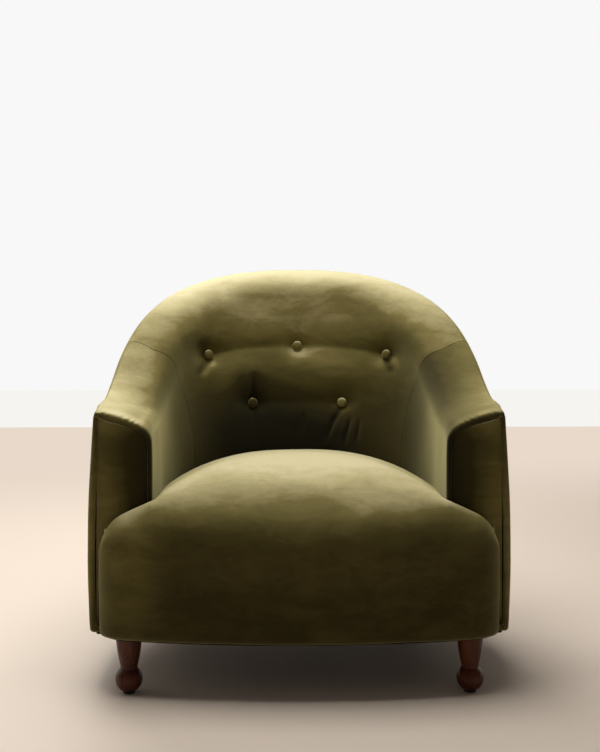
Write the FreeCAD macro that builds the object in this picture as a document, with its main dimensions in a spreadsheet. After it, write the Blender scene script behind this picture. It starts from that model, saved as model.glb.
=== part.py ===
"""Tufted lounge chair: a barrel armchair on turned ball feet, built up piece by piece.

Millimetres, +Z up, the sitter faces -Y, +X is to the right of someone looking at the chair from the front.
The floor is z = 0 and the origin is under the middle of the chair. Depths are first counted from the foremost
point of the seat (depth 0) towards the back, and moved by half the chair's depth when a shape is placed.
"""
import FreeCAD, Part
import math
import os
import Sketcher
from FreeCAD import Placement, Rotation, Vector

os.makedirs("parts", exist_ok=True)
doc = FreeCAD.newDocument("tufted_lounge_chair")

# Driving dimensions: name, value, what it is. Lengths are in mm, angles in degrees.
SIZES = (
    ("leg_height", 113, "floor to the underside of the fabric"),
    ("seat_height", 459, "floor to the top of the seat's crown"),
    ("arm_height", 566, "floor to the outer edge of the arm at its front"),
    ("back_height", 853, "floor to the top of the back"),
    ("inner_half_width", 303, "middle of the chair to the inner face of an arm"),
    ("arm_front", 95, "depth of the arm's front face behind the foremost point"),
    ("bend_start", 240, "depth at which the straight arm starts to curve into the back"),
    ("back_face", 575, "depth of the back's inner face, at seat level"),
    ("squareness", 2.8, "exponent of the curve from arm to back: 2 is an ellipse"),
    ("seat_line", 450, "height above which the inner wall leans outwards"),
    ("arm_lean", 1.5, "lean of the arm's inner face"),
    ("back_lean", 12.5, "lean of the back's inner face"),
    ("wall_rim", 119, "thickness of the wall at its rim"),
    ("wall_base", 130, "thickness of the wall at its lower edge"),
    ("rim_edge", 9, "radius of the arm's outer upper edge"),
    ("rim_edge_back", 38, "radius of the back's outer upper edge"),
    ("rim_slope", 8, "slope of the arm top at its outer edge"),
    ("roll_drop", 66, "height over which an arm's inner face rolls into its top"),
    ("roll_swell", 34, "how much higher that roll is half-way round to the back"),
    ("outer_bulge", 19, "how far the outside panels swell outwards"),
    ("seam_half_width", 250, "half distance between the two seams of arm and back, at the inner face"),
    ("seam_depth", 468, "depth of that seam at the inner face"),
    ("seam_slope", 9, "angle at which the seam runs forward on its way out"),
    ("cover_thick", 3, "velvet with its wadding"),
    ("soft_gap", 0.3, "clearance round soft pieces"),
    ("joint_gap", 0.2, "clearance between pieces of the wooden frame"),
    ("shelf_gap", 1.6, "clearance at twisted faces, under the rim and behind the outside panels"),
    ("foam_depth", 40, "thickness of the arm and back foam at its lower end"),
    ("foam_over_rail", 54, "depth of the rim above the wooden top rail"),
    ("inner_low", 290, "height of the lower end of arm and back foam"),
    ("panel_padding", 10, "padding under the outside panels"),
    ("front_pad", 9, "padding between an arm's front cover and its board"),
    ("board_thick", 20, "arm front board"),
    ("hem_width", 34, "fabric turned under the rails"),
    ("front_strip", 36, "width of the arm front's strip beside the seat's front corner, to the outer edge"),
    ("rail_height", 150, "height of the seat rails"),
    ("rail_thick", 30, "thickness of the seat rails"),
    ("top_rail_height", 28, "height of the arm and back top rails"),
    ("post_thick", 32, "thickness of posts and uprights"),
    ("post_width", 52, "width of posts and uprights"),
    ("upright_half", 54, "middle of the chair to an upright"),
    ("tack_rail_height", 40, "height of the lower tack rails"),
    ("tack_rail_thick", 20, "thickness of the lower tack rails"),
    ("strap_width", 50, "webbing strap"),
    ("strap_thick", 2, "webbing strap"),
    ("corner_radius", 76, "plan radius of the seat's front corners"),
    ("ear_set", 20, "outer side of the seat's ears to the outer lower edge of the wall"),
    ("corner_behind", 14.5, "middle of the front corners behind the arm's front face"),
    ("roll_start", 300, "height at which the seat front starts to roll back"),
    ("roll_length", 255, "length of the front roll in the middle of the seat"),
    ("ear_roll_length", 62, "length of the front roll at the ears"),
    ("side_fall", 69, "fall of the crown from the middle to the arms"),
    ("ear_slope", 0.42, "fall of the ears towards their outer end, per mm"),
    ("ear_round", 34, "extra fall at the outer end of the ears"),
    ("rear_fall", 42, "fall of the seat towards the back"),
    ("seat_tuck", 60, "reach of the seat's top behind the back's inner face, before it is cut to fit"),
    ("rim_padding", 12, "padding between the seat's front and its rail"),
    ("block_reach", 39, "inner face of a front corner block to the middle of its corner"),
    ("spring_rail_set", 16, "spring rail behind the back's inner face"),
    ("spring_rail_height", 46, "height of the spring rail"),
    ("spring_rail_thick", 26, "thickness of the spring rail"),
    ("spring_wire", 4, "seat spring wire"),
    ("spring_width", 48, "width of a seat spring"),
    ("spring_pitch", 76, "length of one full wave of a seat spring"),
    ("spring_step", 104, "distance between seat springs"),
    ("spring_count", 5, "seat springs"),
    ("clip_plate", 1, "sheet of the spring clips"),
    ("clip_width", 24, "spring clips, along the rail"),
    ("clip_depth", 14, "spring clips, across the rail"),
    ("insulator_thick", 6, "pad between springs and foam"),
    ("leg_corner_out", 11, "axis of a front leg outside the middle of its corner"),
    ("leg_corner_forward", 35.5, "axis of a front leg in front of the middle of its corner"),
    ("leg_back_set", 41, "axis of a back leg inside the line of the arm's inner face"),
    ("leg_top_radius", 26.5, "radius of a leg at its top"),
    ("neck_radius", 17.5, "radius of a leg above its ball"),
    ("neck_height", 55, "height of the neck above the floor"),
    ("taper_swell", 1.2, "how far the leg's taper is rounded outwards"),
    ("ball_radius", 27.7, "ball foot"),
    ("ball_middle", 29, "height of the ball's widest place"),
    ("ball_foot_radius", 14, "flat underneath the ball"),
    ("glide_radius", 12, "glide under a ball foot"),
    ("glide_height", 3, "glide under a ball foot"),
    ("bolt_radius", 4, "hanger bolt"),
    ("bolt_reach", 30, "length of a hanger bolt in the leg, and in its block"),
    ("insert_radius", 6.5, "threaded insert in a block"),
    ("insert_height", 20, "threaded insert in a block"),
    ("block_height", 44, "back blocks that carry the legs"),
    ("block_depth", 52, "back blocks that carry the legs"),
    ("block_half_width", 28, "back blocks that carry the legs"),
    ("dust_thick", 1, "dust cover"),
    ("dust_inset", 14, "edge of the dust cover from the edge of the fabric"),
    ("button_radius", 12.2, "tufting button"),
    ("button_thick", 8, "tufting button"),
    ("tuft_depth", 14, "how far a button is pulled in"),
    ("tuft_radius", 56, "radius of the hollow round a button"),
    ("tuft_lip", 6, "height of that hollow's rim above the face"),
    ("tuft_upper_mid", 668, "height of the middle upper button"),
    ("tuft_upper_side", 650, "height of the outer upper buttons"),
    ("tuft_lower", 530, "height of the lower buttons"),
    ("tuft_upper_half", 212, "middle of the chair to an outer upper button"),
    ("tuft_lower_half", 108, "middle of the chair to a lower button"),
    ("twine_radius", 1, "button twine"),
    ("anchor_length", 26, "wooden pin that a button twine is tied to"),
    ("anchor_thick", 5, "wooden pin that a button twine is tied to"),
)

sheet = doc.addObject("Spreadsheet::Sheet", "sizes")
for row, (name, value, note) in enumerate(SIZES, start=1):
    sheet.set("A%d" % row, name)
    sheet.set("B%d" % row, str(value))
    sheet.set("C%d" % row, note)
    sheet.setAlias("B%d" % row, name)
doc.recompute()


def dim(name):
    """A driving dimension, as the sheet holds it."""
    return float(sheet.get(name))


# Sizes that follow from the sheet
HALF = dim("inner_half_width")
ARM_FRONT = dim("arm_front")
BEND = dim("bend_start")
BACK_FACE = dim("back_face")
SEAT_LINE = dim("seat_line")
HEM = dim("leg_height")
COVER = dim("cover_thick")
GAP = dim("soft_gap")
JOINT = dim("joint_gap")
SHELF_GAP = dim("shelf_gap")
FOAM_INSET = COVER + GAP
TWIST_INSET = COVER + SHELF_GAP
RAIL_LOW = HEM + COVER + GAP
RAIL_TOP = RAIL_LOW + dim("rail_height")
INNER_LOW = dim("inner_low")
STRAP = dim("strap_thick")
FRAME_FACE = GAP + STRAP + GAP
PADDING_INSET = COVER + GAP + dim("panel_padding") + GAP
RAIL_OUTER = dim("wall_base") - PADDING_INSET
RAIL_INNER = RAIL_OUTER - dim("rail_thick")
BOARD_FRONT = ARM_FRONT + COVER + GAP + dim("front_pad") + GAP
BOARD_BACK = BOARD_FRONT + dim("board_thick")
CLIP_TOP = RAIL_TOP + JOINT + dim("spring_wire") + 2 * (dim("clip_plate") + JOINT)
DECK = CLIP_TOP + GAP + dim("insulator_thick") + GAP
LEG_TOP = HEM - JOINT - dim("dust_thick") - JOINT
SPRING_RAIL = BACK_FACE + dim("spring_rail_set")
HIGH = 1.25 * dim("back_height")
UNDER = -10
FAR = 1500

# The rim rises from the arm's height to the back's as this polynomial of the inner depth, 0 at the arm front and
# 1 at the back. These are the factors of the first, second and third power, and the fourth makes up the rest.
RIM_FACTORS = (0.68, -3.7, 7.66)

# The roll from the inner face into the top changes from its tight arc to its wide one at this slope, in degrees,
# and at so much more at the back. The outside panels swell by a share less at the back.
ROLL_TURN = 29
ROLL_TURN_MORE = 11
BACK_BULGE_LESS = 0.25

# At an arm's front the outside panel swells by this share less, and it is full where the arm starts to curve
FRONT_BULGE_LESS = 0.7

# Reach of the tools that cut arms and back apart, towards the seat, and how far short of its ends a strap stops
SEAM_SPARE = 60
DIVISION_REACH = 100
STRETCH_ROOM = 0.035
STRAP_SHORT = 4

# How far the tools that leave the back's cover reach past what they take away
THICK_SPARE = 1
CORE_SPARE = 6

# Room of the front covers above the seat rails, steps of the front rail's curve, the insulator's edge behind the
# front rail's face, room between foam and twine anchors, and the arm's straps
FRONT_COVER_LIFT = 8
RAIL_STEPS = 5
INSULATOR_SET = 4
ANCHOR_CLEAR = 3
STRAP_STEP = 75
ARM_STRAPS = (-1, 0, 1)

# The button's side and the flat of its crown, as shares of its thickness and radius
BUTTON_RIM = 0.5
BUTTON_CROWN = 0.55
BUTTON_SIDES = 16

# The hollow round a button: rings and sides of its facets, slope at the button in degrees, room round button
# and twine, and the length of the hole for the twine
TUFT_RINGS = 3
TUFT_SIDES = 12
TUFT_STEEP = 62
TUFT_SPARE = 0.8
TUFT_OPEN = 30
TWINE_SPARE = 0.8
NEEDLE_REACH = 150
ROD_SIDES = 6

# The plan curve is followed by a number that is 0 at the right arm's front, 1 at the middle of the back and 2 at
# the left arm's front. The straight arm takes the first quarter.
ARM_SHARE = 0.25
CURVE_EASE = 1.25
ARM_STEPS = 2
CURVE_STEPS = 10
ARC_STEPS = 3
FACE_STEPS = 2
OUTSIDE_STEPS = 4
FLAT = 1e-6
SIDE_TILT = 0.37


def knots():
    """Numbers along the plan curve at which the wall's sections stand."""
    half = [ARM_SHARE * i / ARM_STEPS for i in range(ARM_STEPS)]
    half += [ARM_SHARE + (1 - ARM_SHARE) * i / CURVE_STEPS for i in range(CURVE_STEPS)]
    return half + [1.0] + [2 - k for k in reversed(half)]


def rim_height(depth):
    """Height of the wall's rim where the inner face lies at this depth."""
    t = (depth - ARM_FRONT) / (BACK_FACE - ARM_FRONT)
    factors = RIM_FACTORS + (1 - sum(RIM_FACTORS),)
    rise = sum(factor * t ** power for power, factor in enumerate(factors, start=1))
    return dim("arm_height") + (dim("back_height") - dim("arm_height")) * rise


def between(first, last, steps):
    """Evenly spread points from just after the first to the last."""
    return [tuple(p + (q - p) * i / steps for p, q in zip(first, last)) for i in range(1, steps + 1)]


class WallSection:
    """An upright section of the horseshoe wall, square to its inner plan curve.

    Points are given as (out, z): out is the distance outwards from the plan curve.
    """

    def __init__(self, along):
        side = 1 if along <= 1 else -1
        along = along if along <= 1 else 2 - along
        if along < ARM_SHARE:
            x, depth = HALF, ARM_FRONT + (BEND - ARM_FRONT) * along / ARM_SHARE
            nx, ny = 1.0, 0.0
        else:
            turn = math.pi / 2 * ((along - ARM_SHARE) / (1 - ARM_SHARE)) ** CURVE_EASE
            power = 2 / dim("squareness")
            c, s = max(math.cos(turn), 0.0), math.sin(turn)
            reach = BACK_FACE - BEND
            x, depth = HALF * c ** power, BEND + reach * s ** power
            nx, ny = c ** (2 - power) / HALF, s ** (2 - power) / reach
            length = math.hypot(nx, ny)
            nx, ny = nx / length, ny / length
        self.x, self.depth = side * x, depth
        self.nx, self.ny = side * nx, ny
        self.back = ny
        self.lean = math.radians(dim("arm_lean") + (dim("back_lean") - dim("arm_lean")) * ny)
        self.rim = rim_height(depth)
        before_bend = max(0.0, (BEND - depth) / (BEND - ARM_FRONT))
        self.bulge = dim("outer_bulge") * (1 - BACK_BULGE_LESS * ny) * (1 - FRONT_BULGE_LESS * before_bend ** 2)
        self.edge = dim("rim_edge") + (dim("rim_edge_back") - dim("rim_edge")) * ny
        self.end_slope = math.radians(dim("rim_slope") * (1 - ny))
        self.outer = dim("wall_rim") + (self.rim - SEAT_LINE) * math.tan(self.lean)
        self.solve_roll()

    def solve_roll(self):
        """Two tangent arcs that roll the leaning inner face into the top, and one round the outer edge."""
        drop = dim("roll_drop") + dim("roll_swell") * 4 * self.back * (1 - self.back)
        low = self.rim - drop
        start = ((low - SEAT_LINE) * math.tan(self.lean), low)
        first = math.pi / 2 - self.lean
        second = math.radians(ROLL_TURN + ROLL_TURN_MORE * self.back)
        third = self.end_slope
        width = self.outer - self.edge * (1 + math.sin(third)) - start[0]
        a, b = math.sin(first) - math.sin(second), math.sin(second) - math.sin(third)
        c, d = math.cos(second) - math.cos(first), math.cos(third) - math.cos(second)
        tight = (width * d - b * drop) / (a * d - b * c)
        wide = (a * drop - c * width) / (a * d - b * c)
        self.arcs = []
        point = start
        for radius, from_angle, to_angle in ((tight, first, second), (wide, second, third),
                                             (self.edge, third, -math.pi / 2)):
            centre = (point[0] + radius * math.sin(from_angle), point[1] - radius * math.cos(from_angle))
            self.arcs.append((centre, radius, from_angle, to_angle))
            point = self.on_arc(centre, radius, to_angle)

    @staticmethod
    def on_arc(centre, radius, angle):
        """The point of a clockwise arc where it heads at this angle."""
        return (centre[0] - radius * math.sin(angle), centre[1] + radius * math.cos(angle))

    def place(self, point):
        """A section point in space."""
        out, z = point
        return Vector(self.x + self.nx * out, self.depth + self.ny * out, z)

    def face(self, inset, low):
        """The sitter's side of the wall, from its lower end over the top to the outer edge, moved in by inset."""
        centre, radius, first, last = self.arcs[0]
        bend = (inset, SEAT_LINE - inset * math.tan(self.lean / 2))
        points = [(inset, low), bend]
        points += between(bend, self.on_arc(centre, radius - inset, first), FACE_STEPS)
        for centre, radius, first, last in self.arcs:
            for i in range(1, ARC_STEPS + 1):
                angle = first + (last - first) * i / ARC_STEPS
                points.append(self.on_arc(centre, radius - inset, angle))
        return points

    def rail_top(self):
        """Height of the underside of the foam over the top rail."""
        return self.rim - dim("foam_over_rail")

    def foam_back(self, z, behind=0.0):
        """Distance out of the back of the foam, or of a plane behind it, at a height."""
        lean = (self.rail_top() - SEAT_LINE) * math.tan(self.lean) / (self.rail_top() - INNER_LOW)
        return dim("foam_depth") + (z - INNER_LOW) * lean + behind

    def outside_out(self, z):
        """How far out the swelling outside face lies at a height. It is straight between its steps."""
        top = self.outside_top()
        step = min(int((z - HEM) / (top - HEM) * OUTSIDE_STEPS), OUTSIDE_STEPS - 1)
        first, second = step / OUTSIDE_STEPS, (step + 1) / OUTSIDE_STEPS
        outs = [dim("wall_base") + (self.outer - dim("wall_base")) * s + 4 * self.bulge * s * (1 - s)
                for s in (first, second)]
        return outs[0] + (outs[1] - outs[0]) * ((z - HEM) / (top - HEM) - first) * OUTSIDE_STEPS

    def outside_top(self):
        """Height at which the outside panel meets the cover of the rim."""
        return self.rim - self.edge * math.cos(self.end_slope) - GAP

    def outside(self, low, high, inset):
        """The swelling outside face between two heights, moved in by inset."""
        top = self.outside_top()
        steps = [HEM + (top - HEM) * i / OUTSIDE_STEPS for i in range(1, OUTSIDE_STEPS)]
        return [(self.outside_out(z) - inset, z) for z in [low] + [z for z in steps if low < z < high] + [high]]


def blend(outline, along):
    """The placed outline at any number along the curve: between two knots it lies on the straight lines that
    join their sections, so that neighbouring pieces stay parallel."""
    stops = knots()
    after = next((i for i, stop in enumerate(stops) if stop >= along - 1e-9), len(stops) - 1)
    section = WallSection(stops[after])
    points = [section.place(p) for p in outline(section)]
    if abs(stops[after] - along) < 1e-9 or after == 0:
        return points
    share = (stops[after] - along) / (stops[after] - stops[after - 1])
    before = WallSection(stops[after - 1])
    others = [before.place(p) for p in outline(before)]
    return [p * (1 - share) + q * share for p, q in zip(points, others)]


def find_along(test):
    """Number along the right half of the plan curve at which a rising test turns positive."""
    low, high = 0.0, 1.0
    for _ in range(40):
        middle = (low + high) / 2
        if test(middle) > 0:
            high = middle
        else:
            low = middle
    return high


def face_point(along, z):
    """Point of the sitter's side of the wall at a height above the seat line."""
    return blend(lambda section: [((z - SEAT_LINE) * math.tan(section.lean), z)], along)[0]


def along_for_x(x, z=None):
    """Number along the curve where the inner face passes x, at the height z or at seat level."""
    level = SEAT_LINE if z is None else z
    return find_along(lambda along: x - face_point(along, level).x)


def along_for_depth(depth):
    """Number along the curve where the inner face lies at this depth."""
    return find_along(lambda along: face_point(along, SEAT_LINE).y - depth)


def closed_wire(points):
    return Part.makePolygon(list(points) + [points[0]])


def upright(shape):
    """The same solid with its faces pointing outwards."""
    if shape.Volume < 0:
        shape.reverse()
    return shape


def rising(outline):
    """For each side of a flat outline whether it runs up or outwards. Parallel sides are cut into facets alike by
    this, whichever way their outline goes round."""
    return [b[0] - a[0] + SIDE_TILT * (b[1] - a[1]) > 0 for a, b in zip(outline, outline[1:] + outline[:1])]


def facets(a, b, c, d, up):
    """One flat face for four corners that lie in a plane, else two, split alike on both sides of the chair."""
    square = (b - a).cross(c - a)
    if abs(square.dot(d - a)) <= FLAT * max(square.Length, FLAT):
        return [(a, b, c, d)]
    if up == (a.x + b.x + c.x + d.x > 0):
        return [(a, b, c), (a, c, d)]
    return [(a, b, d), (b, c, d)]


def skin(rows, ups):
    """A solid with flat facets through closed outlines of as many points each."""
    outlines = [rows[0], rows[-1]]
    for first, second in zip(rows, rows[1:]):
        for i, up in enumerate(ups):
            after = (i + 1) % len(first)
            outlines += facets(first[i], first[after], second[after], second[i], up)
    shell = Part.makeShell([Part.Face(closed_wire(outline)) for outline in outlines])
    return upright(Part.makeSolid(shell))


def wall(outline, start=0.0, end=2.0):
    """A solid through the wall's sections from one knot of the plan curve to another."""
    sections = [WallSection(k) for k in knots() if start - 1e-9 <= k <= end + 1e-9]
    rows = [[section.place(p) for p in outline(section)] for section in sections]
    return skin(rows, rising(outline(WallSection(0))))


def prism(points, low, high):
    """An upright prism over a plan polygon of (x, depth) points."""
    wire = closed_wire([Vector(x, y, low) for x, y in points])
    return upright(Part.Face(wire).extrude(Vector(0, 0, high - low)))


def slab(x0, x1, y0, y1, z0, z1):
    """A plain block between two corners, in x, depth and height."""
    return Part.makeBox(x1 - x0, y1 - y0, z1 - z0, Vector(x0, y0, z0))


def outermost_depth():
    """Depth of the rearmost point of the outside panels."""
    section = WallSection(1.0)
    points = section.outside(HEM, section.outside_top(), 0) + section.face(0, INNER_LOW)
    return section.depth + max(out for out, z in points)


HALF_DEPTH = outermost_depth() / 2


def add_shape(label, shape):
    """A sub-part that holds a shape made above, moved from depths to the chair's own frame."""
    feature = doc.addObject("Part::Feature", label)
    feature.Label = label
    feature.Shape = shape.Solids[0] if len(shape.Solids) == 1 else shape
    feature.Placement = Placement(Vector(0, -HALF_DEPTH, 0), Rotation())
    return feature


def add_pair(label, right_shape):
    """A right-hand sub-part and its mirror image on the left."""
    add_shape(label + "_right", right_shape)
    add_shape(label + "_left", mirror(right_shape))


def mirror(shape):
    """The same shape on the chair's other side."""
    return shape.mirror(Vector(0, 0, 0), Vector(1, 0, 0))


def seam_side(behind):
    """The space in front of the seam of arm and back, right half, or all the space behind both seams."""
    fall = math.tan(math.radians(dim("seam_slope")))
    shift = GAP / 2 if behind else -GAP / 2
    x_in = dim("seam_half_width") - SEAM_SPARE
    depth_in = dim("seam_depth") + SEAM_SPARE * fall + shift
    depth_out = depth_in - (FAR - x_in) * fall
    if behind:
        plan = [(-FAR, depth_out), (-x_in, depth_in), (x_in, depth_in), (FAR, depth_out), (FAR, FAR), (-FAR, FAR)]
    else:
        plan = [(x_in, -FAR), (FAR, -FAR), (FAR, depth_out), (x_in, depth_in)]
    return prism(plan, UNDER, HIGH)


def division(along, shift):
    """Plan line across the wall at a place along the curve, moved along it by shift: its inner and outer end."""
    inner, outer = blend(lambda section: [(-DIVISION_REACH, 0), (FAR, 0)], along)
    run = (outer - inner).normalize()
    step = Vector(-run.y, run.x, 0) * shift
    return [(v.x, v.y) for v in (inner + step, outer + step)]


def before_division(along):
    """The space over the right arm in front of a division."""
    inner, outer = division(along, -JOINT / 2)
    return prism([(inner[0], -FAR), (2 * FAR, -FAR), outer, inner], UNDER, HIGH)


def behind_divisions(along):
    """The space behind a division and its mirror image."""
    inner, outer = division(along, JOINT / 2)
    plan = [(-inner[0], inner[1]), inner, outer, (2 * FAR, 2 * FAR), (-2 * FAR, 2 * FAR), (-outer[0], outer[1])]
    return prism(plan, UNDER, HIGH)


def stretch(outline, along, half):
    """A short stretch of the wall with parallel ends, centred at a place along the curve."""
    stops = knots()
    start = max(k for k in stops if k < along - STRETCH_ROOM)
    end = min(k for k in stops if k > along + STRETCH_ROOM)
    room = prism(division(along, -half) + division(along, half)[::-1], UNDER, HIGH)
    return wall(outline, start, end).common(room)


def behind_depth(depth):
    return slab(-FAR, FAR, depth, FAR, UNDER, HIGH)


# Outlines of the wall's pieces, as (out, z) points


def cover_outline(section):
    """Band of velvet over the sitter's side of the wall."""
    return section.face(0, INNER_LOW) + section.face(COVER, INNER_LOW)[::-1]


def foam_outline(section):
    """Foam behind the cover, hooked over the top rail."""
    shelf = section.rail_top()
    edge = section.outside_out(shelf) - TWIST_INSET
    return section.face(FOAM_INSET, INNER_LOW) + [(edge, shelf), (section.foam_back(shelf), shelf),
                                                  (section.foam_back(INNER_LOW), INNER_LOW)]


def thick_outline(section):
    """Cover and foam in one, from which the back's foam is taken away to leave its cover."""
    points = section.face(0, INNER_LOW)
    inner = points[-1][0] - COVER - THICK_SPARE
    shelf = section.rail_top()
    return points + [(inner, points[-1][1]), (inner, shelf), (section.foam_back(shelf), shelf),
                     (section.foam_back(INNER_LOW), INNER_LOW)]


def core_outline(section):
    """What is taken away to leave the back's cover: all that lies deeper than the cover is thick."""
    points = section.face(COVER, INNER_LOW - CORE_SPARE)
    shelf = section.rail_top() - CORE_SPARE
    return points + [(points[-1][0], shelf), (section.foam_back(shelf, CORE_SPARE), shelf),
                     (section.foam_back(INNER_LOW, CORE_SPARE), INNER_LOW - CORE_SPARE)]


def top_rail_outline(section):
    """Flat wooden rail under the foam of the rim."""
    high = section.rail_top() - SHELF_GAP
    low = high - dim("top_rail_height")
    inner = section.foam_back(section.rail_top(), FRAME_FACE)
    outer = min(section.outside_out(low), section.outside_out(high)) - PADDING_INSET - JOINT
    return [(inner, low), (inner, high), (outer, high), (outer, low)]


def tack_rail_outline(section):
    """Lower rail that the inner covers are fastened to."""
    low, high = INNER_LOW, INNER_LOW + dim("tack_rail_height")
    thick = dim("tack_rail_thick")
    near_low, near_high = section.foam_back(low, FRAME_FACE), section.foam_back(high, FRAME_FACE)
    return [(near_low, low), (near_high, high), (near_high + thick, high), (near_low + thick, low)]


def post_outline(section):
    """Upright that stands inside the seat rail, behind the tack rail, and carries the top rail. It reaches a
    little into that rail, to be trimmed to it."""
    high = section.rail_top() - dim("top_rail_height")
    thick = dim("post_thick")
    foot = RAIL_INNER - JOINT
    behind = FRAME_FACE + dim("tack_rail_thick") + JOINT
    bend, top = section.foam_back(INNER_LOW, behind), section.foam_back(high, behind)
    return [(foot - thick, RAIL_LOW), (foot - thick, RAIL_TOP), (bend, INNER_LOW), (top, high), (top + thick, high),
            (bend + thick, INNER_LOW), (foot, RAIL_TOP), (foot, RAIL_LOW)]


def seat_rail_outline(section):
    """Seat rail inside the outside panels."""
    return [(RAIL_INNER, RAIL_LOW), (RAIL_INNER, RAIL_TOP), (RAIL_OUTER, RAIL_TOP), (RAIL_OUTER, RAIL_LOW)]


def strap_outline(section):
    """Webbing strap stretched between tack rail and top rail."""
    low, high = INNER_LOW + STRAP_SHORT, section.rail_top() - STRAP_SHORT
    return [(section.foam_back(low, GAP), low), (section.foam_back(high, GAP), high),
            (section.foam_back(high, GAP + STRAP), high), (section.foam_back(low, GAP + STRAP), low)]


def leg_block_outline(section):
    """Block inside the back rail that a back leg is bolted to."""
    foot = RAIL_INNER - JOINT
    inner, high = foot - dim("block_depth"), RAIL_LOW + dim("block_height")
    return [(inner, RAIL_LOW), (inner, high), (foot, high), (foot, RAIL_LOW)]


def arm_front_outline(section):
    """Front of the arm inside the covers of its top and outside. Beside the front block it reaches down to the
    rail's underside, else only to just above the seat rails."""
    low = RAIL_TOP + FRONT_COVER_LIFT
    strip_in = dim("wall_base") - dim("front_strip")
    return (section.face(FOAM_INSET, low) + section.outside(RAIL_LOW, section.outside_top(), FOAM_INSET)[::-1]
            + [(strip_in, RAIL_LOW), (strip_in, low)])


def arm_board_outline(section):
    """Board that stands at the front of the arm under the top rail."""
    high = section.rail_top() - dim("top_rail_height") - 2 * SHELF_GAP
    low_in, high_in = section.foam_back(INNER_LOW, FRAME_FACE), section.foam_back(high, FRAME_FACE)
    return [(low_in, RAIL_LOW), (low_in, INNER_LOW), (high_in, high), (top_rail_outline(section)[2][0], high),
            (RAIL_OUTER, RAIL_LOW)]


def outside_cover_outline(section):
    """Outside panel of velvet with its hem turned under the rail."""
    hem_end = dim("wall_base") - dim("hem_width")
    top = section.outside_top()
    return (section.outside(HEM, top, 0) + section.outside(HEM + COVER, top, COVER)[::-1]
            + [(hem_end, HEM + COVER), (hem_end, HEM)])


def outside_padding_outline(section):
    """Padding under an outside panel."""
    top = section.rail_top() - SHELF_GAP
    return section.outside(RAIL_LOW, top, TWIST_INSET) + section.outside(RAIL_LOW, top, PADDING_INSET - GAP)[::-1]


ARM_SIDE = seam_side(False)
BACK_SIDE = seam_side(True)
FOAM_SPACE = behind_depth(BOARD_FRONT)
FRAME_SPACE = behind_depth(BOARD_BACK + JOINT)
POST_ALONG = along_for_depth(dim("seam_depth"))
ARM_FRAME = before_division(POST_ALONG)
BACK_FRAME = behind_divisions(POST_ALONG)


# Inner covers and foam
full_foam = wall(foam_outline).common(FOAM_SPACE)
add_pair("inside_arm_cover", wall(cover_outline).common(ARM_SIDE))
add_pair("arm_foam", full_foam.common(ARM_SIDE))


def tuft_spots():
    """Place along the curve and height of each button."""
    side, lower = dim("tuft_upper_half"), dim("tuft_lower_half")
    spots = [(1.0, dim("tuft_upper_mid"))]
    for x, z in ((side, dim("tuft_upper_side")), (lower, dim("tuft_lower"))):
        along = along_for_x(x, z)
        spots += [(along, z), (2 - along, z)]
    return spots


def tuft_placement(along, z):
    """Local frame of a tuft: +Z stands square out of the inner face, towards the sitter."""
    section = WallSection(along)
    flat, rise = math.cos(section.lean), math.sin(section.lean)
    outward = Vector(-section.nx * flat, -section.ny * flat, rise)
    return Placement(face_point(along, z), Rotation(Vector(0, 0, 1), outward))


def tuft_profile(sink):
    """Radius and height of the hollow round a button: a third of a bell, steep at the button."""
    bottom, rim = -dim("tuft_depth") - sink, dim("tuft_lip") - sink
    inner, outer = dim("button_radius") + TUFT_SPARE, dim("tuft_radius")
    points = []
    for i in range(TUFT_RINGS + 1):
        angle = math.radians(TUFT_STEEP) * (1 - i / TUFT_RINGS)
        steep = math.radians(TUFT_STEEP)
        points.append((inner + (outer - inner) * (1 - math.sin(angle) / math.sin(steep)),
                       bottom + (rim - bottom) * (math.cos(angle) - math.cos(steep)) / (1 - math.cos(steep))))
    return points


def ring(radius, height, sides):
    """Corners of a flat regular outline round the local Z axis."""
    turns = [2 * math.pi * i / sides for i in range(sides)]
    return [Vector(radius * math.cos(turn), radius * math.sin(turn), height) for turn in turns]


def bead(profile, sides):
    """A solid with flat sides on the local Z axis, through a profile of radii and heights."""
    return skin([ring(radius, height, sides) for radius, height in profile], [True] * sides)


def rod(radius, low, high):
    """A rod with flat sides on the local Z axis, for hardware and holes that are out of sight."""
    return bead([(radius, low), (radius, high)], ROD_SIDES)


def tuft_tools(sink):
    """The hollows round the five buttons, sunk further in by a distance, each with a hole for its twine."""
    profile = tuft_profile(sink)
    profile.append((profile[-1][0], profile[-1][1] + TUFT_OPEN))
    hollow = bead(profile, TUFT_SIDES)
    needle = rod(dim("twine_radius") + TWINE_SPARE, -NEEDLE_REACH, 0)
    tools = []
    for along, z in tuft_spots():
        for solid in (hollow, needle):
            copy = solid.copy()
            copy.Placement = tuft_placement(along, z)
            tools.append(copy)
    return tools


thick_back = wall(thick_outline).common(BACK_SIDE)
back_cover = thick_back.cut(tuft_tools(0)).cut(wall(core_outline).cut(tuft_tools(COVER)))
add_shape("inside_back_cover", back_cover)
add_shape("back_foam", full_foam.common(BACK_SIDE).cut(tuft_tools(FOAM_INSET)))


def across(outline, front, back):
    """A piece that stands across the front of the right arm, between two depths."""
    section = WallSection(0)
    points = [Vector(section.x + out, front, z) for out, z in outline]
    return upright(Part.Face(closed_wire(points)).extrude(Vector(0, back - front, 0)))


# Arm fronts
add_pair("arm_front_cover", across(arm_front_outline(WallSection(0)), ARM_FRONT, ARM_FRONT + COVER))
add_pair("arm_front_padding", across(arm_front_outline(WallSection(0)), ARM_FRONT + COVER + GAP, BOARD_FRONT - GAP))
add_pair("arm_front_board", across(arm_board_outline(WallSection(0)), BOARD_FRONT, BOARD_BACK))

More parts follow.
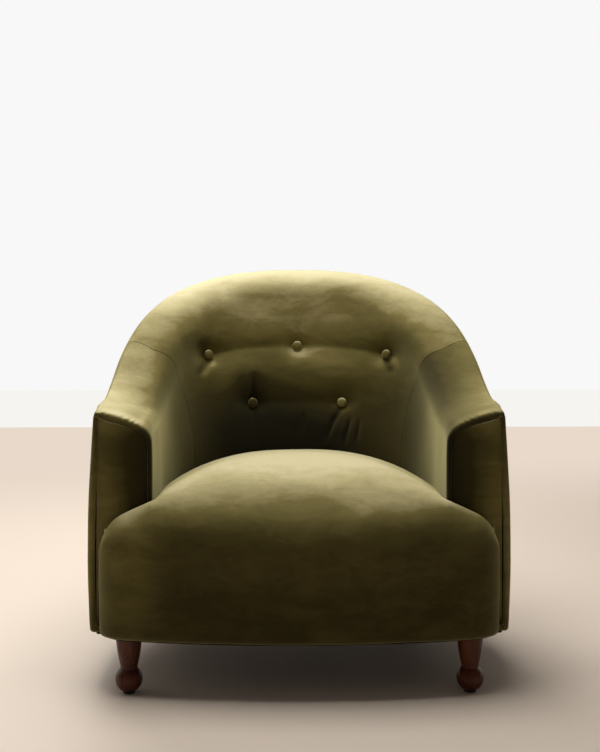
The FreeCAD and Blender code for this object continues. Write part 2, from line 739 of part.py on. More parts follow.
# Outside panels
full_outside = wall(outside_cover_outline)
full_padding = wall(outside_padding_outline).common(FOAM_SPACE)
add_pair("outside_arm_cover", full_outside.common(ARM_SIDE))
add_pair("outside_arm_padding", full_padding.common(ARM_SIDE))
add_shape("outside_back_cover", full_outside.common(BACK_SIDE))
add_shape("outside_back_padding", full_padding.common(BACK_SIDE))


# Frame of arms and back
seat_rails = wall(seat_rail_outline).common(FRAME_SPACE)
top_rails = wall(top_rail_outline).common(FOAM_SPACE)
tack_rails = wall(tack_rail_outline).common(FRAME_SPACE)
add_pair("side_rail", seat_rails.common(ARM_FRAME))
add_shape("back_rail", seat_rails.common(BACK_FRAME))
add_pair("arm_top_rail", top_rails.common(ARM_FRAME))
add_shape("back_top_rail", top_rails.common(BACK_FRAME))
add_pair("arm_tack_rail", tack_rails.common(ARM_FRAME))
add_shape("back_tack_rail", tack_rails.common(BACK_FRAME))
trimmer = top_rails.translated(Vector(0, 0, -JOINT))
for label, along in (("back_post", POST_ALONG), ("back_upright", along_for_x(dim("upright_half")))):
    add_pair(label, stretch(post_outline, along, dim("post_width") / 2).cut(trimmer))

strap_half = dim("strap_width") / 2
arm_places = [along_for_depth(BEND + step * STRAP_STEP) for step in ARM_STRAPS]
add_pair("arm_webbing", Part.makeCompound([stretch(strap_outline, along, strap_half) for along in arm_places]))
back_strap = stretch(strap_outline, along_for_x((dim("tuft_lower_half") + dim("tuft_upper_half")) / 2), strap_half)
add_shape("back_webbing", Part.makeCompound([back_strap, mirror(back_strap)]))


# Buttons


def button_shape():
    """A covered button: a domed disc whose back lies at the bottom of its hollow."""
    radius, thick, base = dim("button_radius"), dim("button_thick"), -dim("tuft_depth") + GAP
    outline = [(radius, 0), (radius, BUTTON_RIM * thick), (BUTTON_CROWN * radius, thick)]
    return bead([(r, base + z) for r, z in outline], BUTTON_SIDES)


def at_tufts(solid):
    """A copy of a solid at each tuft."""
    copies = []
    for along, z in tuft_spots():
        copy = solid.copy()
        copy.Placement = tuft_placement(along, z)
        copies.append(copy)
    return Part.makeCompound(copies)


def anchor_depths():
    """How far behind each button the foam ends, square to the inner face."""
    depths = []
    for along, z in tuft_spots():
        section = WallSection(along)
        thick = section.foam_back(z) - (z - SEAT_LINE) * math.tan(section.lean)
        depths.append(thick * math.cos(section.lean))
    return depths


def twines_and_anchors():
    """A twine behind each button, and the pin behind the foam that it is tied to."""
    twines, anchors = [], []
    button_back = -dim("tuft_depth") + GAP - JOINT
    for (along, z), depth in zip(tuft_spots(), anchor_depths()):
        place = tuft_placement(along, z)
        seat = -depth - ANCHOR_CLEAR
        radius, side, length = dim("twine_radius"), dim("anchor_thick"), dim("anchor_length")
        twine = slab(-radius, radius, -radius, radius, seat + JOINT, button_back)
        anchor = slab(-side / 2, side / 2, -length / 2, length / 2, seat - side, seat)
        for solid, group in ((twine, twines), (anchor, anchors)):
            solid.Placement = place.multiply(solid.Placement)
            group.append(solid)
    return Part.makeCompound(twines), Part.makeCompound(anchors)


add_shape("tuft_buttons", at_tufts(button_shape()))
button_twines, twine_anchors = twines_and_anchors()
add_shape("button_twines", button_twines)
add_shape("twine_anchors", twine_anchors)

# Seat. Its stations run from the middle to the right end of the front: fractions of the bow, then angles round
# the corner.
BOW_STATIONS = (0, 0.17, 0.34, 0.5, 0.64, 0.76, 0.86, 0.93)
CORNER_STEPS = 4
CORNER_END = -12
CROWN_POWER = 2.8
ROLL_JOINT = 45
FRONT_STEPS = 2
TOP_STEPS = 4
SEAT_BACK = BACK_FACE + dim("seat_tuck")
DROP_FACTOR = 1.12
ROLL_LEAST = 0.55

# The middle of the rounded front corner, and the bow that meets both corners smoothly and ends at BOW_HALF
CORNER_RADIUS = dim("corner_radius")
CORNER_X = HALF + dim("wall_base") - dim("ear_set") - CORNER_RADIUS
CORNER_DEPTH = ARM_FRONT + dim("corner_behind")
BOW_RADIUS = (CORNER_X ** 2 + CORNER_DEPTH ** 2 - CORNER_RADIUS ** 2) / (2 * (CORNER_DEPTH - CORNER_RADIUS))
BOW_HALF = CORNER_X * BOW_RADIUS / (BOW_RADIUS - CORNER_RADIUS)


def front_points(inset):
    """The right half of the seat's front in plan, from the middle to the end of the corner, moved in by inset."""
    radius = BOW_RADIUS - inset
    points = []
    for share in BOW_STATIONS:
        x = BOW_HALF * share * radius / BOW_RADIUS
        points.append((x, BOW_RADIUS - math.sqrt(radius ** 2 - x ** 2)))
    start = -math.degrees(math.acos(CORNER_X / (BOW_RADIUS - CORNER_RADIUS)))
    for i in range(CORNER_STEPS + 1):
        angle = math.radians(start + (CORNER_END - start) * i / CORNER_STEPS)
        reach = CORNER_RADIUS - inset
        points.append((CORNER_X + reach * math.cos(angle), CORNER_DEPTH + reach * math.sin(angle)))
    return points


def front_plan(inset):
    """The whole front in plan, from right to left."""
    right = front_points(inset)
    return right[::-1] + [(-x, depth) for x, depth in right[1:]]


def front_depth(x, inset):
    """Depth of the bowed front at a place between its corners."""
    return BOW_RADIUS - math.sqrt((BOW_RADIUS - inset) ** 2 - x ** 2)


def crown_height(x):
    """Height of the seat's top over its width."""
    end = front_points(0)[-1][0]
    side = dim("seat_height") - dim("side_fall")
    if x <= HALF:
        return dim("seat_height") - dim("side_fall") * (x / HALF) ** CROWN_POWER
    height = side - dim("ear_slope") * (x - HALF)
    if x > BOW_HALF:
        height -= dim("ear_round") * ((x - BOW_HALF) / (end - BOW_HALF)) ** 3
    return height


def seat_row(index, inset, low):
    """Outline of the seat at one station as (depth, z), front upwards and over to the back."""
    x, depth = front_points(inset)[index]
    base_x, base_depth = front_points(0)[index]
    top = crown_height(base_x)
    share = max(0.0, 1 - (base_x / HALF) ** 2)
    length = dim("ear_roll_length") + (dim("roll_length") - dim("ear_roll_length")) * share
    start = min(dim("roll_start"), top - ROLL_LEAST * length)
    turn = math.radians(ROLL_JOINT)
    rise = top - start
    a, b, c, d = 1 - math.sin(turn), math.sin(turn), math.cos(turn), 1 - math.cos(turn)
    first = (length * d - b * rise) / (a * d - b * c)
    second = (a * rise - c * length) / (a * d - b * c)
    move_in, move_down = depth - base_depth, inset * DROP_FACTOR
    points = [(depth, low + (start - low) * i / FRONT_STEPS) for i in range(FRONT_STEPS + 1)]
    centre = (base_depth + first, start)
    for i in range(1, ARC_STEPS + 1):
        angle = math.pi / 2 + (turn - math.pi / 2) * i / ARC_STEPS
        points.append((centre[0] - (first - move_in) * math.sin(angle),
                       centre[1] + (first - move_down) * math.cos(angle)))
    centre = (base_depth + length, top - second)
    for i in range(1, ARC_STEPS + 1):
        angle = turn * (1 - i / ARC_STEPS)
        points.append((centre[0] - (second - move_in) * math.sin(angle),
                       centre[1] + (second - move_down) * math.cos(angle)))
    crest = points[-1]
    for i in range(1, TOP_STEPS + 1):
        share = i / TOP_STEPS
        points.append((crest[0] + (SEAT_BACK - crest[0]) * share, crest[1] - dim("rear_fall") * share ** 2))
    points.append((SEAT_BACK, low))
    return points


def seat_solid(inset, low):
    """The crowned seat before it is cut to fit between the arms, moved in by inset."""
    outlines = [seat_row(i, inset, low) for i in range(len(front_points(0)))]
    rows = [[Vector(x, depth, z) for depth, z in outline] for (x, _), outline in zip(front_points(inset), outlines)]
    left = [[Vector(-v.x, v.y, v.z) for v in row] for row in rows[1:]]
    return skin(rows[::-1] + left, rising(outlines[0]))


def seat_plan(inset):
    """Space that the seat may fill in plan: between the arms and, before them, over the whole width."""
    room = GAP + inset
    sides = [blend(lambda section: [(-room, 0)], k)[0] for k in knots()]
    step = ARM_FRONT - room
    plan = [(FAR, -FAR), (FAR, step), (sides[0].x, step)] + [(v.x, v.y) for v in sides]
    return prism(plan + [(sides[-1].x, step), (-FAR, step), (-FAR, -FAR)], UNDER, HIGH)


def behind_front(inset, low, high):
    """All the space behind the front between its corners, moved in by inset."""
    plan = front_plan(inset)
    return prism([(plan[0][0], FAR)] + plan + [(plan[-1][0], FAR)], low, high)


seat_outer = seat_solid(0, HEM).common(seat_plan(0))
seat_inner = seat_solid(COVER, HEM + COVER).common(seat_plan(COVER))
open_below = behind_front(dim("hem_width"), HEM - 10, RAIL_TOP + FRONT_COVER_LIFT)
add_shape("seat_cover", seat_outer.cut(seat_inner).cut(open_below))
below_deck = slab(-FAR, FAR, -FAR, FAR, UNDER, DECK)
seat_foam = seat_solid(FOAM_INSET, RAIL_LOW).common(seat_plan(FOAM_INSET)).cut(below_deck)
add_shape("seat_foam", seat_foam)

rail_front = FOAM_INSET + dim("rim_padding") + GAP
padding_plan = front_plan(FOAM_INSET) + front_plan(FOAM_INSET + dim("rim_padding"))[::-1]
front_padding = prism(padding_plan, RAIL_LOW, DECK - GAP).common(seat_plan(FOAM_INSET))
add_shape("seat_front_padding", front_padding)


def bow_strip(half, front, back):
    """Plan of a strip that follows the bow between two insets."""
    xs = [half * (1 - i / RAIL_STEPS) for i in range(2 * RAIL_STEPS + 1)]
    return [(x, front_depth(x, front)) for x in xs] + [(x, front_depth(x, back)) for x in xs[::-1]]


rail_half = CORNER_X - dim("block_reach")
rail_back = rail_front + dim("rail_thick")
add_shape("front_rail", prism(bow_strip(rail_half, rail_front, rail_back), RAIL_LOW, RAIL_TOP))
block_start = rail_half + JOINT
block_corner = [(x, depth) for x, depth in front_points(rail_front) if x > block_start]
block_plan = ([(block_start, front_depth(block_start, rail_front))] + block_corner
              + [(block_corner[-1][0], BOARD_FRONT - JOINT), (block_start, BOARD_FRONT - JOINT)])
ear_back = slab(front_plan(dim("hem_width"))[1][0] - GAP, FAR, ARM_FRONT - 2 * GAP - COVER, FAR, UNDER, HIGH)
front_block = prism(block_plan, RAIL_LOW, RAIL_TOP).cut(ear_back)

leg_out = RAIL_INNER - JOINT - dim("block_depth") / 2


def block_middle(along):
    """Middle of a back block in plan."""
    return blend(lambda section: [(leg_out, 0)], along)[0]


leg_along = find_along(lambda along: HALF - dim("leg_back_set") - block_middle(along).x)
back_block = stretch(leg_block_outline, leg_along, dim("block_half_width"))
LEG_PLACES = {"front": (CORNER_X + dim("leg_corner_out"), CORNER_DEPTH - dim("leg_corner_forward")),
              "back": (block_middle(leg_along).x, block_middle(leg_along).y)}


def pole(x, depth, low, high, radius):
    """An upright rod with flat sides."""
    solid = rod(radius, low, high)
    solid.translate(Vector(x, depth, 0))
    return solid


bolt_top = RAIL_LOW + dim("bolt_reach")
hole_radius = dim("bolt_radius") + JOINT
bolts, inserts, blocks = [], [], []
for name, block in (("front", front_block), ("back", back_block)):
    x, depth = LEG_PLACES[name]
    bolt = pole(x, depth, LEG_TOP - dim("bolt_reach"), bolt_top, dim("bolt_radius"))
    insert_top = RAIL_LOW + dim("insert_height")
    insert = pole(x, depth, RAIL_LOW, insert_top, dim("insert_radius"))
    insert = insert.cut(pole(x, depth, RAIL_LOW - 1, insert_top + 1, hole_radius + JOINT))
    block = block.cut(pole(x, depth, RAIL_LOW - 1, insert_top + JOINT, dim("insert_radius") + JOINT))
    block = block.cut(pole(x, depth, RAIL_LOW - 1, bolt_top + 1, hole_radius))
    for shape, group in ((bolt, bolts), (insert, inserts), (block, blocks)):
        group += [shape, mirror(shape)]
add_shape("hanger_bolts", Part.makeCompound(bolts))
add_shape("leg_inserts", Part.makeCompound(inserts))
add_shape("corner_blocks", Part.makeCompound(blocks))

# Spring rail, springs, clips and the pad over them
inside_rail = prism([(v.x, v.y) for v in [blend(lambda section: [(RAIL_INNER - JOINT, 0)], k)[0] for k in knots()]],
                    UNDER, HIGH)
spring_rail = slab(-FAR, FAR, SPRING_RAIL, SPRING_RAIL + dim("spring_rail_thick"),
                   RAIL_TOP - dim("spring_rail_height"), RAIL_TOP)
add_shape("spring_rail", spring_rail.common(inside_rail))


def ribbon(points, width):
    """Plan outline of a line of points given a width, with mitred corners."""
    left, right = [], []
    count = len(points)
    for i, (x, y) in enumerate(points):
        before, after = points[max(i - 1, 0)], points[min(i + 1, count - 1)]
        first = (x - before[0], y - before[1]) if i else (after[0] - x, after[1] - y)
        second = (after[0] - x, after[1] - y) if i < count - 1 else first
        first_length, second_length = math.hypot(*first), math.hypot(*second)
        nx = -first[1] / first_length - second[1] / second_length
        ny = first[0] / first_length + second[0] / second_length
        square = nx ** 2 + ny ** 2
        left.append((x + nx * width / square, y + ny * width / square))
        right.append((x - nx * width / square, y - ny * width / square))
    return left + right[::-1]


def spring_points(x):
    """Middle line of a sinuous spring, in plan, from its front clip to its back clip."""
    front = front_depth(abs(x), rail_front + dim("rail_thick") / 2)
    back = SPRING_RAIL + dim("spring_rail_thick") / 2
    waves = 2 * int((back - front) / dim("spring_pitch")) + 1
    half_wave = (back - front) / waves
    half = dim("spring_width") / 2
    points = []
    for i in range(waves + 1):
        side = -1 if i % 2 else 1
        depth = front + i * half_wave
        points += [(x - side * half, depth), (x + side * half, depth)]
    return points


wire_low = RAIL_TOP + JOINT + dim("clip_plate") + JOINT
springs, clips = [], []
for i in range(int(dim("spring_count"))):
    x = (i - (dim("spring_count") - 1) / 2) * dim("spring_step")
    path = spring_points(x)
    springs.append(prism(ribbon(path, dim("spring_wire")), wire_low, wire_low + dim("spring_wire")))
    plate, half = dim("clip_plate"), dim("clip_width") / 2
    for depth, outward in ((path[0][1], -1), (path[-1][1], 1)):
        near = depth - outward * dim("clip_depth") / 2
        web = depth + outward * (dim("spring_wire") / 2 + JOINT)
        low, high = RAIL_TOP + JOINT, wire_low + dim("spring_wire") + JOINT
        section = [(near, low), (web + outward * plate, low), (web + outward * plate, high + plate),
                   (near, high + plate), (near, high), (web, high), (web, low + plate), (near, low + plate)]
        face = Part.Face(closed_wire([Vector(x - half, y, z) for y, z in section]))
        clips.append(upright(face.extrude(Vector(2 * half, 0, 0))))
add_shape("seat_springs", Part.makeCompound(springs))
add_shape("spring_clips", Part.makeCompound(clips))
pad_half = HALF - GAP - FOAM_INSET - GAP
pad_front = rail_front + INSULATOR_SET
insulator = seat_plan(FOAM_INSET).common(behind_front(pad_front, CLIP_TOP + GAP, DECK - GAP))
add_shape("seat_insulator", insulator.common(slab(-pad_half, pad_half, 0, FAR, UNDER, HIGH)))

# Dust cover
dust_low = HEM - JOINT - dim("dust_thick")
rim_out = dim("wall_base") - dim("dust_inset")
dust_plan = [(v.x, v.y) for v in [blend(lambda section: [(rim_out, 0)], k)[0] for k in knots()]]
dust_plan = front_plan(dim("dust_inset"))[::-1] + dust_plan
dust = prism(dust_plan, dust_low, dust_low + dim("dust_thick"))
for x, depth in LEG_PLACES.values():
    for side in (1, -1):
        dust = dust.cut(pole(side * x, depth, dust_low - 1, HEM, dim("bolt_radius") + 2 * JOINT))
add_shape("dust_cover", dust)

# Sizes that the sketched pieces take from the shapes above, as further cells of the sheet
DERIVED = (("half_depth", HALF_DEPTH), ("leg_front_x", LEG_PLACES["front"][0]),
           ("leg_front_depth", LEG_PLACES["front"][1]), ("leg_back_x", LEG_PLACES["back"][0]),
           ("leg_back_depth", LEG_PLACES["back"][1]), ("leg_top", LEG_TOP))
for row, (name, value) in enumerate(DERIVED, start=len(SIZES) + 1):
    sheet.set("A%d" % row, name)
    sheet.set("B%d" % row, repr(round(value, 6)))
    sheet.setAlias("B%d" % row, name)
doc.recompute()


def bind(sketch, expression, *constraint):
    """Add a constraint whose value is worked out from the sheet."""
    value = float(sheet.evalExpression(expression.replace("sizes.", "")))
    index = sketch.addConstraint(Sketcher.Constraint(*constraint, value))
    sketch.setExpression("Constraints[%d]" % index, expression)


def leg_profile(body, label):
    """Half profile of a turned leg: foot, ball, neck, rounded taper, top and the hole for its bolt."""
    sketch = body.newObject("Sketcher::SketchObject", label)
    plane = next(feature for feature in body.Origin.OriginFeatures if feature.Role == "XZ_Plane")
    sketch.AttachmentSupport = (plane, [""])
    sketch.MapMode = "FlatFace"
    ball, middle, floor = dim("ball_radius"), dim("ball_middle"), dim("glide_height")
    neck, taper = dim("neck_radius"), dim("leg_top_radius")
    hole, hole_low = dim("bolt_radius") + JOINT, LEG_TOP - dim("bolt_reach") - JOINT
    foot = math.sqrt(ball ** 2 - (middle - floor) ** 2)
    ball_top = middle + math.sqrt(ball ** 2 - neck ** 2)
    spots = [(0, floor), (foot, floor), (neck, ball_top), (neck, dim("neck_height")), (taper, LEG_TOP),
             (hole, LEG_TOP), (hole, hole_low), (0, hole_low)]
    bulges = {1: (ball, middle), 3: ((neck + taper) / 2 + dim("taper_swell"), (dim("neck_height") + LEG_TOP) / 2)}
    points = [Vector(x, z, 0) for x, z in spots]
    for i, point in enumerate(points):
        after = points[(i + 1) % len(points)]
        if i in bulges:
            sketch.addGeometry(Part.Arc(point, Vector(*bulges[i], 0), after), False)
        else:
            sketch.addGeometry(Part.LineSegment(point, after), False)
    for i in range(len(points)):
        ends = [2, 1]
        if i in bulges and sketch.getPoint(i, 1).distanceToPoint(points[i]) > JOINT:
            ends[0] = 1
        after = (i + 1) % len(points)
        if after in bulges and sketch.getPoint(after, 1).distanceToPoint(points[after]) > JOINT:
            ends[1] = 2
        sketch.addConstraint(Sketcher.Constraint("Coincident", i, ends[0], after, ends[1]))
    for i in (0, 4, 6):
        sketch.addConstraint(Sketcher.Constraint("Horizontal", i))
    for i in (2, 5):
        sketch.addConstraint(Sketcher.Constraint("Vertical", i))
    for geometry, end in ((0, 1), (1, 3), (6, 2)):
        sketch.addConstraint(Sketcher.Constraint("PointOnObject", geometry, end, -2))
    hole_floor = "sizes.leg_top - sizes.bolt_reach - sizes.joint_gap"
    taper_arc = ("((sizes.leg_top - sizes.neck_height)^2 + (sizes.leg_top_radius - sizes.neck_radius)^2)"
                 " / (8 * sizes.taper_swell) + sizes.taper_swell / 2")
    bind(sketch, "sizes.glide_height", "DistanceY", -1, 1, 0, 1)
    bind(sketch, "sizes.ball_middle", "DistanceY", -1, 1, 1, 3)
    bind(sketch, "sizes.ball_radius", "Radius", 1)
    bind(sketch, "sizes.neck_radius", "DistanceX", -1, 1, 2, 2)
    bind(sketch, "sizes.neck_height", "DistanceY", -1, 1, 2, 2)
    bind(sketch, "sizes.leg_top_radius", "DistanceX", -1, 1, 4, 1)
    bind(sketch, "sizes.leg_top", "DistanceY", -1, 1, 4, 1)
    bind(sketch, "sizes.bolt_radius + sizes.joint_gap", "DistanceX", -1, 1, 5, 1)
    bind(sketch, hole_floor, "DistanceY", -1, 1, 6, 1)
    bind(sketch, taper_arc, "Radius", 3)
    return sketch


def add_leg(label, x, depth):
    """A turned leg on its own axis, placed by expressions for x and depth."""
    body = doc.addObject("PartDesign::Body", label)
    body.Label = label
    sketch = leg_profile(body, label + "_profile")
    turned = body.newObject("PartDesign::Revolution", label + "_turned")
    turned.Profile = sketch
    turned.ReferenceAxis = (sketch, ["V_Axis"])
    turned.Angle = 360
    sketch.Visibility = False
    body.setExpression("Placement.Base.x", x)
    body.setExpression("Placement.Base.y", depth + " - sizes.half_depth")


add_leg("leg_front_right", "sizes.leg_front_x", "sizes.leg_front_depth")
add_leg("leg_front_left", "-sizes.leg_front_x", "sizes.leg_front_depth")
add_leg("leg_back_right", "sizes.leg_back_x", "sizes.leg_back_depth")
add_leg("leg_back_left", "-sizes.leg_back_x", "sizes.leg_back_depth")

# Glides: four discs in one sub-part
glides = []
for end in ("front", "back"):
    for side, sign in (("right", ""), ("left", "-")):
        glide = doc.addObject("Part::Cylinder", "glide_%s_%s" % (end, side))
        glide.setExpression("Radius", "sizes.glide_radius")
        glide.setExpression("Height", "sizes.glide_height - sizes.joint_gap")
        glide.setExpression("Placement.Base.x", "%ssizes.leg_%s_x" % (sign, end))
        glide.setExpression("Placement.Base.y", "sizes.leg_%s_depth - sizes.half_depth" % end)
        glides.append(glide)
leg_glides = doc.addObject("Part::Compound", "leg_glides")
leg_glides.Label = "leg_glides"
leg_glides.Links = glides
doc.recompute()

PIECES = [piece for piece in doc.Objects if piece.TypeId in ("Part::Feature", "PartDesign::Body", "Part::Compound")]
for piece in doc.Objects:
    if "Invalid" in piece.State or "Error" in piece.State:
        raise RuntimeError("%s could not be worked out: %s" % (piece.Label, piece.State))
for piece in PIECES:
    if piece.Shape.isNull() or not piece.Shape.isValid() or not piece.Shape.Solids:
        raise RuntimeError("%s has no valid shape" % piece.Label)
for piece in PIECES:
    piece.Shape.exportStep("parts/%s.step" % piece.Label)
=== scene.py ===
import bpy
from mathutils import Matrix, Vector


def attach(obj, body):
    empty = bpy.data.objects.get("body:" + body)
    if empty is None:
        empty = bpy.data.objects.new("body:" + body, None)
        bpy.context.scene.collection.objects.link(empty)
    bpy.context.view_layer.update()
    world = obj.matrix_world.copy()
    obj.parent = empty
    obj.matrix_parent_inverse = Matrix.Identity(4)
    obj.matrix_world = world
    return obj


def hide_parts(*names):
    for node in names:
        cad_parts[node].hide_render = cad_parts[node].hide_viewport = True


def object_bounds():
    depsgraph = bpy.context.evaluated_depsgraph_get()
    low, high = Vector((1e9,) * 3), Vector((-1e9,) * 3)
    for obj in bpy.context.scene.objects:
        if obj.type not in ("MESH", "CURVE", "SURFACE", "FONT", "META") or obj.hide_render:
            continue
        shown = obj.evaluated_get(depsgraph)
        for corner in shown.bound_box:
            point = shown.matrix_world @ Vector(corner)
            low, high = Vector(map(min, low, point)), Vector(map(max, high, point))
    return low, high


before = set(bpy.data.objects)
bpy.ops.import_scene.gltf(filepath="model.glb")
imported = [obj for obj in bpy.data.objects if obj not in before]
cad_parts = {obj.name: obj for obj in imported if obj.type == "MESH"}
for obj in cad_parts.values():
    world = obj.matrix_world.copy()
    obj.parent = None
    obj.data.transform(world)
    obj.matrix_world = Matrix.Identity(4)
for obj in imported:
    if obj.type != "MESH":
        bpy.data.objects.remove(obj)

"""Tufted lounge chair: the dressed model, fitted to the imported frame.

Forms are worked out in millimetres. Depths are counted from the foremost point of the seat towards the back, as
in the part's source, and are moved to the frame when a mesh is made.
"""
import logging
import math
from collections.abc import Callable, Iterator
from contextlib import contextmanager
from dataclasses import dataclass, field, replace
from enum import Enum

import bmesh
import bpy
import numpy as np
from mathutils import Vector

# Short names for the type hints
Array = np.ndarray
Object, Material = bpy.types.Object, bpy.types.Material
Socket, Tree = bpy.types.NodeSocket, bpy.types.NodeTree

CAD_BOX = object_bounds()
MM = 0.001
FRONT_Y = CAD_BOX[0].y
LOG = logging.getLogger("lounge_chair")
BODY = "root"
# Name of the attribute that carries painted light and shade on the velvet pieces
PAINTED_LIGHT_ATTRIBUTE = "pile_lie"
FACING = "facing"
MIRROR = np.array([-1.0, 1.0, 1.0])
QUARTER = math.pi / 2
ROLL_POINTS = 7
HALVINGS = 40
# How many swells make a surface uneven, and the range of their lengths
SWELLS, SWELL_RANGE = 5, (0.7, 1.5)
# Distances in metres under which points are merged: in a padded piece, and in a mesh that keeps its fine steps
MERGE = 0.00003
WELD = 0.00002
# How a skin turns into the groove at the arm's front, in steps of (inwards, backwards)
GROOVE_TURN = ((1.4, 11.0), (1.4, 4.5), (0.9, 1.2))
# Painted light and shade: tone of a standing face, how much painted light a level face adds, from which normal it
# counts as level, and how fast
STANDING, LEVEL_MORE, LEVEL_NORMAL, LEVEL_POWER = 0.5, 0.44, 0.98, 2.2
FLOAT, VECTOR, OBJECT = "NodeSocketFloat", "NodeSocketVector", "NodeSocketObject"
GEOMETRY, MATERIAL = "NodeSocketGeometry", "NodeSocketMaterial"


class Side(Enum):
    """The two sides of the chair, as seen from the front."""

    LEFT = "left"
    RIGHT = "right"

    @property
    def sign(self) -> float:
        """Which way the side lies along x."""
        return 1.0 if self is Side.RIGHT else -1.0


class Slot(Enum):
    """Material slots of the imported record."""

    VELVET = "velvet"
    STEEL = "steel"
    WEBBING = "webbing"
    DUST_CLOTH = "dust_cloth"
    TWINE = "twine"


class Held(Enum):
    """How a sheet of cloth is held."""

    STRETCHED = "stretched"


# Grids and meshes


def shares(count: int, length: float, start_roll: float = 0.0, end_roll: float = 0.0) -> Array:
    """Shares from 0 to 1 along a run, closer together where an end is rolled in.

    Args:
        count: points of the even middle part.
        length: length of the run.
        start_roll: radius of the roll at the start, or 0.
        end_roll: radius of the roll at the end, or 0.

    Returns:
        The rising shares.
    """
    near = 1 - np.cos(np.linspace(0.0, QUARTER, ROLL_POINTS))
    first = start_roll * near / length if start_roll else np.zeros(1)
    last = 1 - (end_roll * near / length)[::-1] if end_roll else np.ones(1)
    return np.concatenate([first, np.linspace(first[-1], last[0], count)[1:-1], last])


def drawn(distance: Array, radius: float) -> Array:
    """How far a rounded edge is drawn in at a distance from its end."""
    inside = np.clip(distance, 0, radius)
    return radius - np.sqrt(np.maximum(2 * radius * inside - inside ** 2, 0))


def smooth(value: Array, low: float, high: float) -> Array:
    """A soft step from 0 at low to 1 at high."""
    t = np.clip((value - low) / (high - low), 0, 1)
    return t * t * (3 - 2 * t)


def wobble(points: Array, height: float, scale: float, seed: int) -> Array:
    """Gentle unevenness, as hand-fitted cloth has.

    Args:
        points: points in millimetres.
        height: how far up and down it goes.
        scale: rough length of one swell.
        seed: picks the pattern.

    Returns:
        One number for each point.
    """
    rng = np.random.default_rng(seed)
    total = np.zeros(points.shape[:-1])
    for _ in range(SWELLS):
        way = rng.normal(size=3)
        way *= 2 * math.pi / (scale * rng.uniform(*SWELL_RANGE) * np.linalg.norm(way))
        total += np.sin(points @ way + rng.uniform(0, 2 * math.pi))
    return height * (total / SWELLS)


def bisect(low: Array, high: Array, past: Callable[[Array], Array]) -> Array:
    """Halve spans until they are tiny.

    Args:
        low: where the spans start, before the place that is looked for.
        high: where they end, past it.
        past: tells for a number in each span whether it lies past the place.

    Returns:
        The place in each span.
    """
    for _ in range(HALVINGS):
        middle = (low + high) / 2
        beyond = past(middle)
        low, high = np.where(beyond, low, middle), np.where(beyond, middle, high)
    return high


def grid_quads(index: Array) -> Array:
    """Corner numbers of the faces of a grid of point numbers."""
    return np.stack([index[:-1, :-1], index[1:, :-1], index[1:, 1:], index[:-1, 1:]], -1).reshape(-1, 4)


def tube_faces(rings: int, sides: int) -> list[tuple[int, ...]]:
    """Corner numbers of the faces between rings of points that follow each other."""
    return [(i * sides + j, i * sides + (j + 1) % sides, (i + 1) * sides + (j + 1) % sides, (i + 1) * sides + j)
            for i in range(rings - 1) for j in range(sides)]


@dataclass
class Skin:
    """A grid of surface points in millimetres, rows by columns."""

    points: Array
    flip: bool = False

    def normals(self) -> Array:
        """Unit normals on the side that shows.

        Returns:
            A direction for each point.
        """
        normals = np.cross(np.gradient(self.points, axis=0), np.gradient(self.points, axis=1))
        normals /= np.maximum(np.linalg.norm(normals, axis=2, keepdims=True), 1e-9)
        return -normals if self.flip else normals

    def pushed(self, height: Array) -> "Skin":
        """The skin moved outwards by a height at each point."""
        return Skin(self.points + self.normals() * height[..., None], self.flip)

    def walked(self, axis: int, reverse: bool = False) -> Array:
        """Length walked along the grid lines of an axis, from their start or their end.

        Args:
            axis: 0 along the columns, 1 along the rows.
            reverse: whether to start from the end.

        Returns:
            A length for each point.
        """
        steps = np.linalg.norm(np.diff(self.points, axis=axis), axis=2)
        lengths = np.insert(np.cumsum(steps, axis=axis), 0, 0, axis=axis)
        return np.take(lengths, [-1], axis=axis) - lengths if reverse else lengths

    def edged(self, last_row: float, first_column: float | Array, last_column: float) -> Array:
        """How far the surface is drawn in by its rolled edges.

        Args:
            last_row: radius of the roll along the last row.
            first_column: the same for the first column, also as one radius for each row.
            last_column: the same for the last column.

        Returns:
            A depth for each point.
        """
        return np.maximum.reduce([np.zeros(self.points.shape[:2]), drawn(self.walked(0, True), last_row),
                                  drawn(self.walked(1), first_column), drawn(self.walked(1, True), last_column)])

    def rolled(self, depth: Array, tuck: float, front: Array | None = None) -> "Skin":
        """The skin with its edges drawn in and its border turned inwards.

        Args:
            depth: how far each point is drawn in.
            tuck: how far the border goes on inwards.
            front: for a skin whose first column turns into the groove at the arm's front, the depth from which it
                turns for each row.

        Returns:
            The finished skin.
        """
        normals = self.normals()
        inner = self.points - normals * depth[..., None]
        first = [inner[:, :1] - normals[:, :1] * tuck]
        if front is not None:
            first = [self.points[:, :1] - normals[:, :1] * (front[:, None, None] + inset) + (0.0, back, 0.0)
                     for inset, back in GROOVE_TURN]
        points = np.concatenate(first + [inner, inner[:, -1:] - normals[:, -1:] * tuck], axis=1)
        ways = np.concatenate([normals[:, :1]] * len(first) + [normals, normals[:, -1:]], axis=1)
        points = np.concatenate([points[:1] - ways[:1] * tuck, points, points[-1:] - ways[-1:] * tuck])
        return Skin(points, self.flip)

    def mirrored(self) -> "Skin":
        """The same skin on the chair's other side."""
        return Skin(self.points * MIRROR, not self.flip)

    def quads(self) -> Array:
        """Corner numbers of the faces, turned so that their normals show."""
        faces = grid_quads(np.arange(self.points[..., 0].size).reshape(self.points.shape[:2]))
        return faces[:, ::-1] if self.flip else faces


def to_frame(points: Array) -> Array:
    """Points from millimetres and depths to the chair's frame."""
    return points.reshape(-1, 3) * MM + np.array([0.0, FRONT_Y, 0.0])


def link(name: str, data: bpy.types.ID) -> Object:
    """A new object in the scene that shows a mesh, a camera or a lamp.

    Args:
        name: the object's name.
        data: what it shows.

    Returns:
        The object.
    """
    piece = bpy.data.objects.new(name, data)
    bpy.context.scene.collection.objects.link(piece)
    return piece


